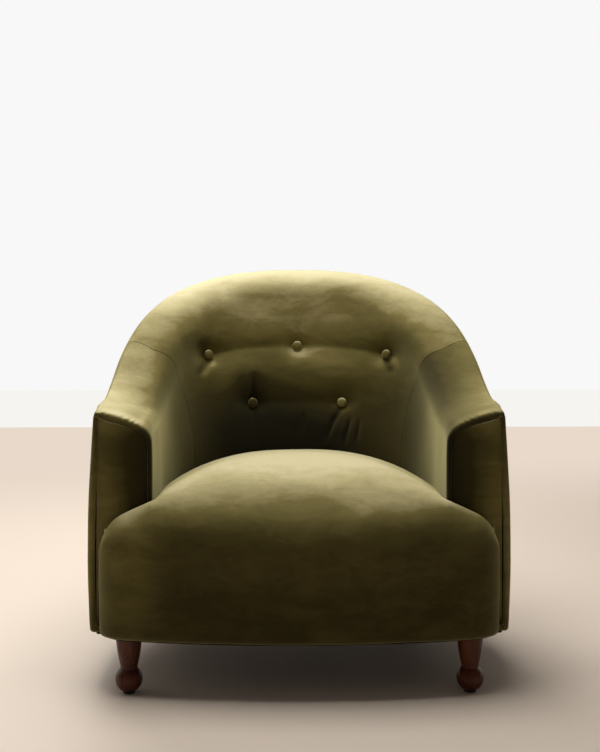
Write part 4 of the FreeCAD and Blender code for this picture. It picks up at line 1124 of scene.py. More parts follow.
@dataclass(frozen=True)
class SeatForm:
    """The one-piece crowned seat with its ears in front of the arms."""

    height: float = 459.0
    side_fall: float = 69.0
    crown_power: float = 2.8
    ear_slope: float = 0.42
    ear_round: float = 34.0
    rear_fall: float = 60.0
    rear_power: float = 1.35
    rear_tuck: float = 60.0
    corner_radius: float = 76.0
    corner_x: float = 340.5
    corner_depth: float = 109.5
    corner_end: float = -8.0
    roll_start: float = 300.0
    roll_length: float = 255.0
    ear_roll: float = 62.0
    roll_joint: float = 45.0
    roll_least: float = 0.55
    gap: float = 0.8
    crack_roll: float = 17.0
    hem_radius: float = 14.0
    hem_width: float = 34.0
    under: float = 4.0
    beside_arm: float = 30.0
    ear_stations: tuple = (1.6, 3.6, 6.6, 10.6, 15.6, 21.6, 28.6, 36.6)

    def bow(self) -> tuple[float, float]:
        """Radius of the bowed front, and its half width between the corners.

        Returns:
            The radius and the half width.
        """
        r = self.corner_radius
        radius = (self.corner_x ** 2 + self.corner_depth ** 2 - r ** 2) / (2 * (self.corner_depth - r))
        return radius, self.corner_x * radius / (radius - r)

    def corner(self, end: float, count: int, inset: float = 0.0) -> Array:
        """Plan of the right front corner as points of (x, depth).

        Args:
            end: angle in degrees at which it ends.
            count: how many points it takes.
            inset: how far it is moved in.

        Returns:
            The points, the first of which ends the bowed front.
        """
        start = -math.acos(self.corner_x / (self.bow()[0] - self.corner_radius))
        turn = start + (math.radians(end) - start) * np.linspace(0, 1, count)
        reach = self.corner_radius - inset
        return np.stack([self.corner_x + reach * np.cos(turn), self.corner_depth + reach * np.sin(turn)], 1)

    def stations(self, half: float) -> tuple[Array, Array]:
        """Plan of the right half of the front, from the middle to the end of its corner.

        Args:
            half: inner half width of the arms, beside which the stations stand closer.

        Returns:
            x and depth of each station.
        """
        radius, bow_half = self.bow()
        inner = half - self.gap
        beside = inner - self.beside_arm
        xs = np.concatenate([np.linspace(0, beside, 44),
                             beside + self.beside_arm * np.sin(np.linspace(0.12, 1, 9) * QUARTER),
                             inner + np.array(self.ear_stations)])
        xs = xs[xs < bow_half - 3]
        front = np.stack([xs, radius - np.sqrt(radius ** 2 - xs ** 2)], 1)
        return tuple(np.vstack([front, self.corner(self.corner_end, 26)]).T)

    def crown(self, x: float, half: float, end: float) -> float:
        """Height of the seat's top at a place x.

        Args:
            x: the place.
            half: inner half width of the arms.
            end: x of the outermost station.

        Returns:
            The height.
        """
        bow_half = self.bow()[1]
        if x <= half:
            return self.height - self.side_fall * (x / half) ** self.crown_power
        height = self.height - self.side_fall - self.ear_slope * (x - half)
        return height - self.ear_round * max(0.0, (x - bow_half) / (end - bow_half)) ** 3

    def outline(self, x: float, depth: float, half: float, end: float, hem: float, back: float) -> Array:
        """Outline of the seat at one station, from the hem up the front and over to the back.

        Args:
            x: place of the station.
            depth: depth of the front there.
            half: inner half width of the arms.
            end: x of the outermost station.
            hem: height of the lower edge.
            back: depth at which the top ends.

        Returns:
            Points of (depth, z).
        """
        top = self.crown(x, half, end)
        length = self.ear_roll + (self.roll_length - self.ear_roll) * max(0.0, 1 - (x / half) ** 2)
        start = min(self.roll_start, top - self.roll_least * length)
        # Radii of the front's two arcs, which together span the length and the rise
        turn, rise = math.radians(self.roll_joint), top - start
        a, b, c, d = 1 - math.sin(turn), math.sin(turn), math.cos(turn), 1 - math.cos(turn)
        first = (length * d - b * rise) / (a * d - b * c)
        second = (a * rise - c * length) / (a * d - b * c)
        foot, crest = depth + self.under, depth + length
        curl = np.linspace(0, QUARTER, 8)
        z = np.linspace(hem + self.hem_radius, start, 30)[1:]
        lower, upper = np.linspace(QUARTER, turn, 24)[1:], np.linspace(turn, 0, 24)[1:]
        share = np.linspace(0, 1, 60)[1:]
        runs = ((foot + self.hem_width, hem),
                (foot + self.hem_radius * (1 - np.sin(curl)), hem + self.hem_radius * (1 - np.cos(curl))),
                (depth + self.under * ((start - z) / (start - hem)) ** 2, z),
                (depth + first - first * np.sin(lower), start + first * np.cos(lower)),
                (crest - second * np.sin(upper), top - second + second * np.cos(upper)),
                (crest + (back - crest) * share, top - self.rear_fall * share ** self.rear_power))
        return np.vstack([np.column_stack(run) for run in runs])


def resample(outline: Array, places: Array) -> Array:
    """Points of a polyline at shares of its length."""
    length = np.insert(np.cumsum(np.linalg.norm(np.diff(outline, axis=0), axis=1)), 0, 0)
    return np.stack([np.interp(places * length[-1], length, column) for column in outline.T], 1)


def cut_at(outline: Array, depth: float) -> tuple[Array, Array]:
    """A station's outline in two: up to a depth on its top, and from there on.

    Args:
        outline: points of (depth, z), from the hem on.
        depth: where to cut.

    Returns:
        The two parts, which share the point of the cut.
    """
    beyond_hem = 12
    after = int(np.where((outline[:, 0] > depth) & (np.arange(len(outline)) > beyond_hem))[0][0])
    before = outline[after - 1]
    point = before + (outline[after] - before) * (depth - before[0]) / (outline[after][0] - before[0])
    return np.vstack([outline[:after], point]), np.vstack([point, outline[after:]])


def distance_to(points: Array, line: Array) -> Array:
    """Distance in plan from points to a polyline.

    Args:
        points: points of (x, depth).
        line: corners of the polyline.

    Returns:
        A distance for each point.
    """
    best = np.full(len(points), np.inf)
    for a, b in zip(line[:-1], line[1:]):
        run = b - a
        share = np.clip(((points - a) @ run) / (run @ run), 0, 1)
        best = np.minimum(best, np.linalg.norm(points - a - share[:, None] * run, axis=1))
    return best


@dataclass(frozen=True)
class Pleats:
    """Small pleats that run in from the arm's front edge.

    Attributes:
        depth: their usual depth.
        length: their usual distance from each other.
        shifts: height and length of the waves that shift them.
        varied: share of the depth that all have, share that varies, and over what length.
        start: where they fade in.
        end: from where they fade out, and over what length.
    """

    depth: float = 0.8
    length: float = 12.0
    shifts: tuple = ((3.0, 17.0), (1.6, 7.3))
    varied: tuple[float, float, float] = (0.55, 0.45, 10.7)
    start: tuple[float, float] = (1.0, 8.0)
    end: tuple[float, float] = (6.0, 9.0)

    def height(self, from_front: Array, around: Array, window: Array) -> Array:
        """Height of the pleats.

        Args:
            from_front: distance of each point from the edge.
            around: how far along the edge it lies.
            window: 1 where pleats can be, 0 where the face is plain.

        Returns:
            A height for each point.
        """
        uneven = sum(size * np.sin(around / length) for size, length in self.shifts)
        least, more, length = self.varied
        pleats = self.depth * np.cos(around * 2 * math.pi / self.length + uneven)
        pleats *= least + more * np.sin(around / length)
        last, fade = self.end
        pleats *= np.exp(-np.maximum(from_front - last, 0) / fade) * smooth(from_front, *self.start) * window
        return pleats


# Pieces


def row_heights(face: int, tight: int, wide: int, edge: int) -> Array:
    """Numbers of an inner face's rows, from how many steps its face, its two rolls and its outer edge take."""
    return np.concatenate([np.linspace(0, 2, face), 2 + np.linspace(0, 1, tight)[1:],
                           3 + np.linspace(0, 1, wide)[1:], 4 + np.linspace(0, 1, edge)[1:]])


def span(first: Array, last: Array, rows: Array, steps: Array) -> tuple[Array, Array]:
    """A grid over the wall between two lines.

    Args:
        first: number along the plan curve at which each row starts.
        last: number at which it ends.
        rows: heights or shares of the rows.
        steps: shares of the columns.

    Returns:
        The numbers along the curve and the rows' numbers, both for each point.
    """
    along = first[:, None] + (last - first)[:, None] * steps
    return along, np.broadcast_to(rows[:, None], along.shape)


@dataclass
class Upholstery:
    """The velvet pieces of arms, back and seat, each with its padding as one closed form."""

    velvet: Material
    wall: WallForm = field(default_factory=WallForm)
    tufts: Tufting = field(default_factory=Tufting)
    seat_form: SeatForm = field(default_factory=SeatForm)
    body: float = 5.0
    seat_body: float = 4.0
    seam_roll: float = 1.2
    rim_roll: float = 2.6
    front_roll: tuple = (8.5, 11.0, 7.0)
    outside_roll: float = 12.0
    hem_roll: float = 9.0
    tuck: float = 7.0
    hem_turned: tuple = (34.0, 22.0)
    pleats: Pleats = Pleats()
    # Hollow behind the pleats: depth, distance from the edge and half width
    front_dip: tuple[float, float, float] = (1.6, 34.0, 18.0)
    # Unevenness of each piece: height, length of a swell and seed
    arm_uneven: tuple[float, float, int] = (0.7, 120.0, 3)
    back_uneven: tuple[float, float, int] = (0.6, 90.0, 8)
    outside_uneven: tuple[float, float, int] = (0.8, 160.0, 5)
    panel_uneven: tuple[float, float, int] = (0.5, 110.0, 11)
    seat_uneven: tuple[float, float, int] = (0.9, 150.0, 21)
    # Rows over the face, the tight roll, the wide roll and the outer edge
    arm_rows: tuple[int, int, int, int] = (40, 16, 52, 10)
    back_rows: tuple[int, int, int, int] = (112, 13, 20, 12)
    panel_rows: tuple[int, int, int, int] = (60, 14, 26, 8)
    panel_roll: float = 4.0
    panel_set: float = 3.6
    panel_foot: float = 11.0
    panel_strip: float = 36.0
    panel_swell: float = 2.6
    panel_swell_in: float = 16.0
    panel_edge: float = 3.0
    panel_gap: float = 1.9
    panel_low: tuple[float, float] = (200.0, 215.0)
    panel_corner: tuple[float, float] = (1.5, 2.5)
    crack_reach: float = 0.4
    crack_step: float = 0.03
    # Patches of painted shade and painted light on each piece: darker where seat and arms shade the back, lighter on
    # the upper back and where light from the left falls
    painted_back: tuple[PaintedPatch, ...] = (
        PaintedPatch(-85, 448, 170, 88, -0.6),
        PaintedPatch(90, 430, 110, 60, -0.25),
        PaintedPatch(-118, 552, 40, 48, -0.3),
        PaintedPatch(-10, 748, 310, 100, 0.31),
        PaintedPatch(60, 600, 210, 70, 0.13),
        PaintedPatch(-190, 600, 90, 60, 0.08),
    )
    painted_seat: tuple[PaintedPatch, ...] = (
        PaintedPatch(0, 345, 520, 120, 0.1),
        PaintedPatch(0, 383, 135, 32, -0.1),
        PaintedPatch(0, 452, 230, 16, 0.04),
        PaintedPatch(-345, 250, 60, 150, 0.12),
    )
    painted_arm: tuple[PaintedPatch, ...] = (
        PaintedPatch(398, 552, 42, 15, 0.2),
        PaintedPatch(338, 536, 36, 17, 0.24),
        PaintedPatch(308, 450, 60, 110, -0.3),
        PaintedPatch(350, 640, 60, 60, 0.05),
    )
    # Painted light on the strip at the outside arm's front edge
    painted_outside: tuple[PaintedPatch, ...] = (PaintedPatch(437, 320, 40, 230, 0.26, 99, 7.0),)
    # Painted shade on the right inner arm
    painted_right: tuple[PaintedPatch, ...] = (PaintedPatch(310, 560, 120, 130, -0.22),)
    # Painted light on the arm front's outer side and top, painted shade on its inner side and at its foot
    painted_front: tuple[PaintedPatch, ...] = (
        PaintedPatch(415, 330, 58, 230, 0.24),
        PaintedPatch(380, 548, 60, 34, 0.14),
        PaintedPatch(318, 430, 34, 110, -0.2),
        PaintedPatch(432, 120, 30, 16, -0.4),
    )

    def inner_skin(self, up: Array, first: Array, last: Array, steps: Array) -> Skin:
        """The sitter's side of the wall between two lines, as `span` takes them."""
        along, rows = span(first, last, up, steps)
        return Skin(self.wall.place(along, *self.wall.inner(along, rows)))

    def front_radius(self, up: Array) -> Array:
        """Radius of the arm's front edge by row: for its face, its top and its outer edge."""
        face, top, outer = self.front_roll
        return face + (top - face) * smooth(up, 2.5, 3.6) + (outer - top) * smooth(up, 3.7, 4.15)

    def inside_arm(self) -> Skin:
        """The right arm's inner face and top, rolled over its front edge, with small pleats there.

        Returns:
            The finished skin.
        """
        up = row_heights(*self.arm_rows)
        radius = self.front_radius(up)
        steps = shares(74, 400, float(radius.max()), self.seam_roll)
        skin = self.inner_skin(up, np.zeros(len(up)), self.wall.seam_along(self.wall.inner, up, True), steps)
        from_front, around = skin.walked(1), skin.walked(0)
        rolls = skin.edged(self.rim_roll, radius[:, None], self.seam_roll)
        top = smooth(np.broadcast_to(up[:, None], rolls.shape), 2.2, 2.9)
        pleats = self.pleats.height(from_front, around, top)
        deep, middle, half = self.front_dip
        dip = deep * np.exp(-((from_front - middle) / half) ** 2) * top
        return skin.rolled(rolls - pleats - wobble(skin.points, *self.arm_uneven) + dip, self.tuck, radius)

    def inside_back(self) -> Skin:
        """The tufted inner back, from seam to seam.

        Returns:
            The finished skin.
        """
        up = row_heights(*self.back_rows)
        seam = self.wall.seam_along(self.wall.inner, up, True)
        skin = self.inner_skin(up, seam, 2 - seam, shares(176, 640, self.seam_roll, self.seam_roll))
        x, z = skin.points[..., 0], skin.points[..., 2]
        facing = 1 - smooth(np.broadcast_to(up[:, None], x.shape), 2.3, 3.6)
        rolls = skin.edged(self.rim_roll, self.seam_roll, self.seam_roll)
        height = self.tufts.height(x, z) * facing + wobble(skin.points, *self.back_uneven)
        return skin.pushed(height).rolled(rolls, self.tuck)

    def outside_skin(self, arm: bool, steps: Array) -> Skin:
        """An outside panel with its hem turned under the rail.

        Args:
            arm: whether it is the right arm's panel, from its front to the seam, and not the back's, from seam to
                seam.
            steps: shares of the columns.

        Returns:
            The skin, its hem first.
        """
        share = shares(46, 450, 0, self.rim_roll)
        seam = self.wall.seam_along(self.wall.outside, share, False)
        along, rows = span(np.zeros(len(share)) if arm else seam, seam if arm else 2 - seam, share, steps)
        out, z = self.wall.outside(along, rows)
        z = z + self.hem_roll * (1 - smooth(rows, 0.0, 0.06))
        under = [(inset, 0.0) for inset in self.hem_turned]
        under += [(self.hem_roll * (1 - math.sin(t)), self.hem_roll * (1 - math.cos(t)))
                  for t in np.linspace(0, QUARTER, 6)[:-1]]
        out = np.concatenate([out[:1] - inset for inset, _ in under] + [out])
        z = np.concatenate([z[:1] - self.hem_roll + lift for _, lift in under] + [z])
        along = np.concatenate([along[:1]] * len(under) + [along])
        skin = Skin(self.wall.place(along, out, z), True)
        front = np.full(len(along), self.seam_roll)
        if arm:
            rise = np.concatenate([np.zeros(len(under)), share])
            front = self.outside_roll + (self.front_roll[2] - self.outside_roll) * smooth(rise, 0.9, 0.99)
        rolls = skin.edged(self.rim_roll, front[:, None], self.seam_roll) - wobble(skin.points, *self.outside_uneven)
        return skin.rolled(rolls, self.tuck, front if arm else None)

    def front_border(self, up: Array, more: float) -> Array:
        """The line at the arm's front where its inner cover ends, as (out, z), moved in a little more.

        Args:
            up: heights of the rows.
            more: how much further in it lies.

        Returns:
            A point for each row.
        """
        border = np.stack(self.wall.inner(np.zeros(len(up)), up), 1)
        run = np.gradient(border, axis=0)
        run /= np.linalg.norm(run, axis=1, keepdims=True)
        return border + np.stack([run[:, 1], -run[:, 0]], 1) * (self.front_radius(up)[:, None] + more)

    def arm_front(self) -> Skin:
        """The panel on the front of the right arm, its rows running from its inner to its outer edge.

        Returns:
            The finished skin.
        """
        border = self.front_border(row_heights(*self.panel_rows)[:-3], self.panel_gap)
        outer, low = self.wall.rim - self.panel_set, self.wall.hem + self.panel_foot
        straight_end, border_start = self.panel_low
        border = border[(border[:, 0] < outer - self.panel_corner[0]) & (border[:, 1] > border_start)]
        inner = np.vstack([[outer - self.panel_strip, low], [outer - self.panel_strip, straight_end], border])
        side = np.array([[outer, low], [outer, border[-1, 1] - self.panel_corner[1]]])
        loop = np.vstack([inner, side[::-1], inner[:1]])
        steps = shares(130, 600, 0, self.panel_roll)
        inner, side = resample(inner, steps)[:, None], resample(side, steps)[:, None]
        across = shares(36, 110, self.panel_roll, self.panel_roll)[None, :, None]
        flat = inner * (1 - across) + side * across
        away = distance_to(flat.reshape(-1, 2), loop).reshape(flat.shape[:2])
        points = np.stack([self.wall.half + flat[..., 0],
                           np.full(away.shape, self.wall.arm_front + self.panel_set), flat[..., 1]], -1)
        points[..., 1] += (drawn(away, self.panel_edge) - self.panel_swell * (1 - np.exp(-away / self.panel_swell_in))
                           + wobble(points, *self.panel_uneven))
        back = np.array([0.0, self.tuck, 0.0])
        points = np.concatenate([points[:1] + back, points, points[-1:] + back])
        ends = np.concatenate([points[:1], points[1:-1] + back, points[-1:]])
        return Skin(np.concatenate([ends[:, :1], points, ends[:, -1:]], axis=1), True)

    def seat_grids(self) -> tuple[Array, Array]:
        """Points of the seat in front of the arms and between them, in rows from side to side.

        Returns:
            The front grid, and the one behind it, whose first row is the front's last.
        """
        form, wall = self.seat_form, self.wall
        xs, depths = form.stations(wall.half)
        rows_front = shares(66, 560, 0, form.crack_roll)
        rows_back = shares(62, 420, form.crack_roll, form.crack_roll)
        fronts, backs = [], []
        for x, depth in zip(xs, depths):
            line = form.outline(x, depth, wall.half, xs[-1], wall.hem, wall.back_face + form.rear_tuck)
            before, after = cut_at(line, wall.arm_front - form.gap)
            fronts.append(np.insert(resample(before, rows_front), 0, x, axis=1))
            if x < wall.half - 0.5 * form.gap:
                end = wall.side_depth(x, form.gap)
                # From the front roll on the depths only rise, so the height at the end can be read off
                last = (end, np.interp(end, *line[40:].T))
                after = np.vstack([after[after[:, 0] < end], last])
                backs.append(np.insert(resample(after, rows_back), 0, x, axis=1))
        return tuple(np.concatenate([(half * MIRROR)[:, :0:-1], half], 1)
                     for half in (np.stack(fronts, 1), np.stack(backs, 1)))

    def crack(self) -> Array:
        """Plan of the right half of the crack between the seat and the arms and back.

        Returns:
            Points of (x, depth).
        """
        form, wall = self.seat_form, self.wall
        half, front, back = wall.half - form.gap, wall.arm_front - form.gap, wall.back_face - form.gap
        turn, power = np.linspace(0, QUARTER, 60)[:-1], 2 / wall.squareness
        curve = np.stack([half * np.cos(turn) ** power, wall.bend + (back - wall.bend) * np.sin(turn) ** power], 1)
        beyond_ear = 470.0
        return np.vstack([[(beyond_ear, front), (half, front)], curve, [(0.0, back)]])

    def seat(self) -> Object:
        """The crowned seat with its ears.

        Returns:
            The piece, with its final mesh.
        """
        front, back = self.seat_grids()
        rows, columns = front.shape[:2]
        inner = back.shape[1]
        offset = (columns - inner) // 2
        grid = np.arange(rows * columns).reshape(rows, columns)
        rear = np.vstack([grid[-1:, offset:offset + inner],
                          rows * columns + np.arange((len(back) - 1) * inner).reshape(-1, inner)])
        points = np.vstack([front.reshape(-1, 3), back[1:].reshape(-1, 3)])
        piece = new_object("seat_cushion", points, np.vstack([grid_quads(grid), grid_quads(rear)])[:, ::-1])
        away = distance_to(np.stack([np.abs(points[:, 0]), points[:, 1]], 1), self.crack())
        push = wobble(points, *self.seat_uneven) - drawn(away, self.seat_form.crack_roll)
        points = points + read_vertices(piece, "normal") * push[:, None]
        piece.data.vertices.foreach_set("co", to_frame(points).astype(np.float32).ravel())
        self.close_seat(piece, away)
        return piece

    def close_seat(self, piece: Object, away: Array) -> None:
        """Turn the seat's border down between arms and back, and give it a closed body.

        Args:
            piece: the open seat.
            away: distance of each vertex from the crack.
        """
        with reshaping(piece) as work:
            work.verts.ensure_lookup_table()
            crack = {work.verts[i] for i in np.where(away < self.crack_reach)[0]}
            border = [edge for edge in work.edges if edge.is_boundary and all(v in crack for v in edge.verts)]
            for _ in range(2):
                # Built edge by edge, because the extrude operator's order of faces changes from run to run
                below, lower = {}, []
                for edge in border:
                    loop = edge.link_loops[0]
                    first, last = loop.link_loop_next.vert, loop.vert
                    for vert in (first, last):
                        if vert not in below:
                            below[vert] = work.verts.new(vert.co - Vector((0.0, 0.0, self.crack_step)))
                    lower.append(work.faces.new((first, last, below[last], below[first])).edges[2])
                border = lower
            bmesh.ops.remove_doubles(work, verts=work.verts, dist=WELD)
        piece.data.shade_smooth()
        thicken(piece, self.seat_body)

    def pad(self, name: str, skin: Skin, nodes: tuple[str, ...], painted_patches: tuple = ()) -> None:
        """Finish one padded piece from its skin.

        Args:
            name: the piece's name.
            skin: its skin.
            nodes: CAD nodes that it replaces.
            painted_patches: where its tone gets painted light or shade.
        """
        piece = new_object(name, skin.points, skin.quads())
        clean(piece)
        thicken(piece, self.body)
        # Painted light and shade go into the piece's tone attribute
        paint_light_and_shade(piece, painted_patches)
        hand_over(piece, self.velvet, nodes)

    def build(self) -> None:
        """Build all the padded pieces."""
        outside_arm = self.outside_skin(True, shares(78, 430, self.outside_roll, self.seam_roll))
        arms = (("inside_arm", self.inside_arm(), ("inside_arm_cover", "arm_foam"), 0.9, self.painted_arm),
                ("arm_front_panel", self.arm_front(), ("arm_front_cover", "arm_front_padding"), 0.9,
                 self.painted_front),
                ("outside_arm", outside_arm, ("outside_arm_cover", "outside_arm_padding"), 0.8,
                 self.painted_outside))
        for side in Side:
            for name, skin, nodes, fill, painted_patches in arms:
                # The right inner arm gets painted shade of its own
                if name == "inside_arm" and side is Side.RIGHT:
                    painted_patches = painted_patches + self.painted_right
                self.pad(f"{name}_{side.value}", skin if side is Side.RIGHT else skin.mirrored(),
                         tuple(f"{node}_{side.value}" for node in nodes),
                         tuple(replace(place, x=place.x * side.sign) for place in painted_patches))
        # The back's painted patches, and painted shade and light along its folds
        self.pad("inside_back", self.inside_back(), ("inside_back_cover", "back_foam"),
                 self.painted_back + self.tufts.folds)
        self.pad("outside_back", self.outside_skin(False, shares(150, 1000, self.seam_roll, self.seam_roll)),
                 ("outside_back_cover", "outside_back_padding"))
        seat = self.seat()
        # Painted light and shade on the seat
        paint_light_and_shade(seat, self.painted_seat)
        hand_over(seat, self.velvet,
                  ("seat_cover", "seat_foam", "seat_front_padding", "seat_insulator"))


def grow(piece: Object, tree: Tree, values: dict[str, object]) -> None:
    """Run a geometry tree on a piece and keep the result as its plain mesh.

    Args:
        piece: the object that carries the points.
        tree: the geometry tree.
        values: inputs by name.
    """
    modifier = piece.modifiers.new(tree.name, "NODES")
    modifier.node_group = tree
    inputs = {item.name: item.identifier for item in tree.interface.items_tree if item.in_out == "INPUT"}
    for name, value in values.items():
        modifier[inputs[name]] = value
    settle(piece)


def geometry_group(name: str, inputs: dict[str, tuple[str, object]]) -> Group:
    """A geometry tree that takes a geometry, a material and further inputs."""
    return Group(name, "GeometryNodeTree", {"Geometry": (GEOMETRY, None), **inputs, "Finish": (MATERIAL, None)})


def finish_tree(graph: Group, geometry: Socket) -> Tree:
    """Realize a tree's instances, give them their material and close the tree.

    Args:
        graph: the tree's graph.
        geometry: what it has made.

    Returns:
        The tree.
    """
    real = graph.add("GeometryNodeRealizeInstances", {"Geometry": geometry})
    done = graph.add("GeometryNodeSetMaterial", {"Geometry": real.outputs[0], "Material": graph.inlet["Finish"]})
    return graph.close(GEOMETRY, {"Geometry": done.outputs[0]})


def copies_tree() -> Tree:
    """A copy of an object at each point, its Z axis along the point's `facing`.

    Returns:
        The tree.
    """
    graph = geometry_group("copies_at_points", {"Copy": (OBJECT, None)})
    points = graph.add("GeometryNodeMeshToPoints", {"Mesh": graph.inlet["Geometry"]})
    facing = graph.add("GeometryNodeInputNamedAttribute", {"Name": FACING}, data_type="FLOAT_VECTOR")
    turned = graph.add("FunctionNodeAlignRotationToVector", {"Vector": facing.outputs[0]}, axis="Z")
    copy = graph.add("GeometryNodeObjectInfo", {"Object": graph.inlet["Copy"], "As Instance": True})
    placed = graph.add("GeometryNodeInstanceOnPoints", {
        "Points": points.outputs[0], "Instance": copy.outputs["Geometry"], "Rotation": turned.outputs[0]})
    return finish_tree(graph, placed.outputs[0])


def stitch_tree() -> Tree:
    """Small stitches along a line, each a short rounded bar.

    Returns:
        The tree.
    """
    graph = geometry_group("stitch_row", {"Spacing": (FLOAT, 0.006), "Length": (FLOAT, 0.0032),
                                          "Thread": (FLOAT, 0.0005)})
    curve = graph.add("GeometryNodeMeshToCurve", {"Mesh": graph.inlet["Geometry"]})
    even = graph.add("GeometryNodeResampleCurve", {"Curve": curve.outputs[0], "Length": graph.inlet["Spacing"]},
                     mode="LENGTH")
    tangent = graph.add("GeometryNodeInputTangent")
    turned = graph.add("FunctionNodeAlignRotationToVector", {"Vector": tangent.outputs[0]}, axis="X")
    ball = graph.add("GeometryNodeMeshIcoSphere", {"Radius": 0.5, "Subdivisions": 2})
    thread = graph.inlet["Thread"]
    size = graph.add("ShaderNodeCombineXYZ", {0: graph.inlet["Length"], 1: thread, 2: thread})
    placed = graph.add("GeometryNodeInstanceOnPoints", {
        "Points": even.outputs[0], "Instance": ball.outputs[0], "Rotation": turned.outputs[0],
        "Scale": size.outputs[0]})
    return finish_tree(graph, placed.outputs[0])


def rod_tree() -> Tree:
    """A round rod along each line of a mesh.

    Returns:
        The tree.
    """
    graph = geometry_group("twisted_rod", {"Radius": (FLOAT, 0.001)})
    curve = graph.add("GeometryNodeMeshToCurve", {"Mesh": graph.inlet["Geometry"]})
    circle = graph.add("GeometryNodeCurvePrimitiveCircle", {"Resolution": 8, "Radius": graph.inlet["Radius"]},
                       mode="RADIUS")
    tube = graph.add("GeometryNodeCurveToMesh", {"Curve": curve.outputs[0], "Profile Curve": circle.outputs[0],
                                                 "Fill Caps": True})
    return finish_tree(graph, tube.outputs[0])


def put_copies(name: str, points: Array, facings: Array, master: Object,
               tree: Tree, finish: Material) -> Object:
    """Copies of an object as one piece, in the place of the object.

    Args:
        name: the piece's name.
        points: where the copies go, in millimetres and depths.
        facings: the direction in which each one looks.
        master: the object, which is removed.
        tree: the tree that copies it.
        finish: the copies' material.

    Returns:
        The piece.
    """
    carrier = new_object(name, points, [])
    attribute = carrier.data.attributes.new(FACING, "FLOAT_VECTOR", "POINT")
    attribute.data.foreach_set("vector", facings.astype(np.float32).ravel())
    grow(carrier, tree, {"Copy": master, "Finish": finish})
    bpy.data.objects.remove(master)
    return carrier


@dataclass
class Buttons:
    """The velvet-covered tufting buttons and the twines that hold them."""

    velvet: Material
    twine: Material
    wall: WallForm
    tufts: Tufting
    radius: float = 11.6
    thick: float = 6.8
    edge: float = 1.3
    underneath: float = -0.6
    dome: float = 0.75
    foot: tuple[float, float] = (0.72, 0.94)
    gathers: int = 9
    gathered_below: float = 2.5
    gather_depth: float = 0.012
    sides: int = 40
    sunk: float = 13.7
    twine_start: float = 0.4
    twine_reach: float = 52.0
    twine_radius: float = 0.001
    # Painted light on the buttons over the back's middle and painted shade at the lower left button
    painted_patches: tuple[PaintedPatch, ...] = (PaintedPatch(0, 600, 400, 200, 0.22), PaintedPatch(-108, 530, 40, 30, -0.2))

    def master(self) -> Object:
        """One button: a domed disc whose cloth is gathered under its edge.

        Returns:
            The button's object.
        """
        profile = [(self.radius * self.foot[0], self.underneath), (self.radius * self.foot[1], 0.0),
                   (self.radius, self.edge)]
        profile += [(self.radius * math.cos(t) ** self.dome, self.edge + (self.thick - self.edge) * math.sin(t))
                    for t in np.linspace(0, QUARTER, 9)[1:-1]]
        angles = np.linspace(0, 2 * math.pi, self.sides, endpoint=False)
        rings = []
        for radius, z in profile:
            folded = self.gather_depth * np.cos(angles * self.gathers) * (z < self.gathered_below)
            gathered = radius * (1 + folded)
            rings.append(np.stack([gathered * np.cos(angles), gathered * np.sin(angles), np.full(self.sides, z)], 1))
        points = np.vstack(rings + [[(0, 0, self.thick), (0, 0, self.underneath)]])
        faces = tube_faces(len(profile), self.sides)
        top, last = len(points) - 2, (len(profile) - 1) * self.sides
        for j in range(self.sides):
            after = (j + 1) % self.sides
            faces += [(last + j, last + after, top), (after, j, top + 1)]
        return link_mesh("button_master", points * MM, faces)

    def places(self) -> tuple[Array, Array]:
        """Places of the buttons on the plain inner face, and the directions in which they look.

        Returns:
            Points and directions.
        """
        x, z = np.array(self.tufts.spots()).T

        def spot(along: Array) -> Array:
            """Points of the leaning face at the buttons' heights."""
            return self.wall.place(along, self.wall.leaned(z, self.wall.section(along)["lean"]), z)

        along = bisect(np.full(len(x), 0.3), np.ones(len(x)), lambda middle: spot(middle)[:, 0] <= np.abs(x))
        s = self.wall.section(along)
        flat = np.cos(s["lean"])
        facings = np.stack([-s["nx"] * flat, -s["ny"] * flat, np.sin(s["lean"])], 1)
        mirror = np.where(x[:, None] < 0, MIRROR, 1.0)
        return spot(along) * mirror, facings * mirror

    def build(self, copies: Tree, rods: Tree) -> None:
        """Build the buttons and their twines.

        Args:
            copies: the tree that copies an object.
            rods: the tree that makes rods.
        """
        spots, facings = self.places()
        buttons = put_copies("covered_buttons", spots - facings * self.sunk, facings, self.master(), copies,
                             self.velvet)
        buttons.data.shade_smooth()
        # Painted light and shade in the buttons' tone attribute
        paint_light_and_shade(buttons, self.painted_patches)
        hand_over(buttons, self.velvet, ("tuft_buttons",))
        ends = np.vstack([spots - facings * (self.sunk + self.twine_start), spots - facings * self.twine_reach])
        twines = new_object("button_ties", ends, [], [(i, i + len(spots)) for i in range(len(spots))])
        grow(twines, rods, {"Radius": self.twine_radius, "Finish": self.twine})
        hand_over(twines, self.twine, ("button_twines",))


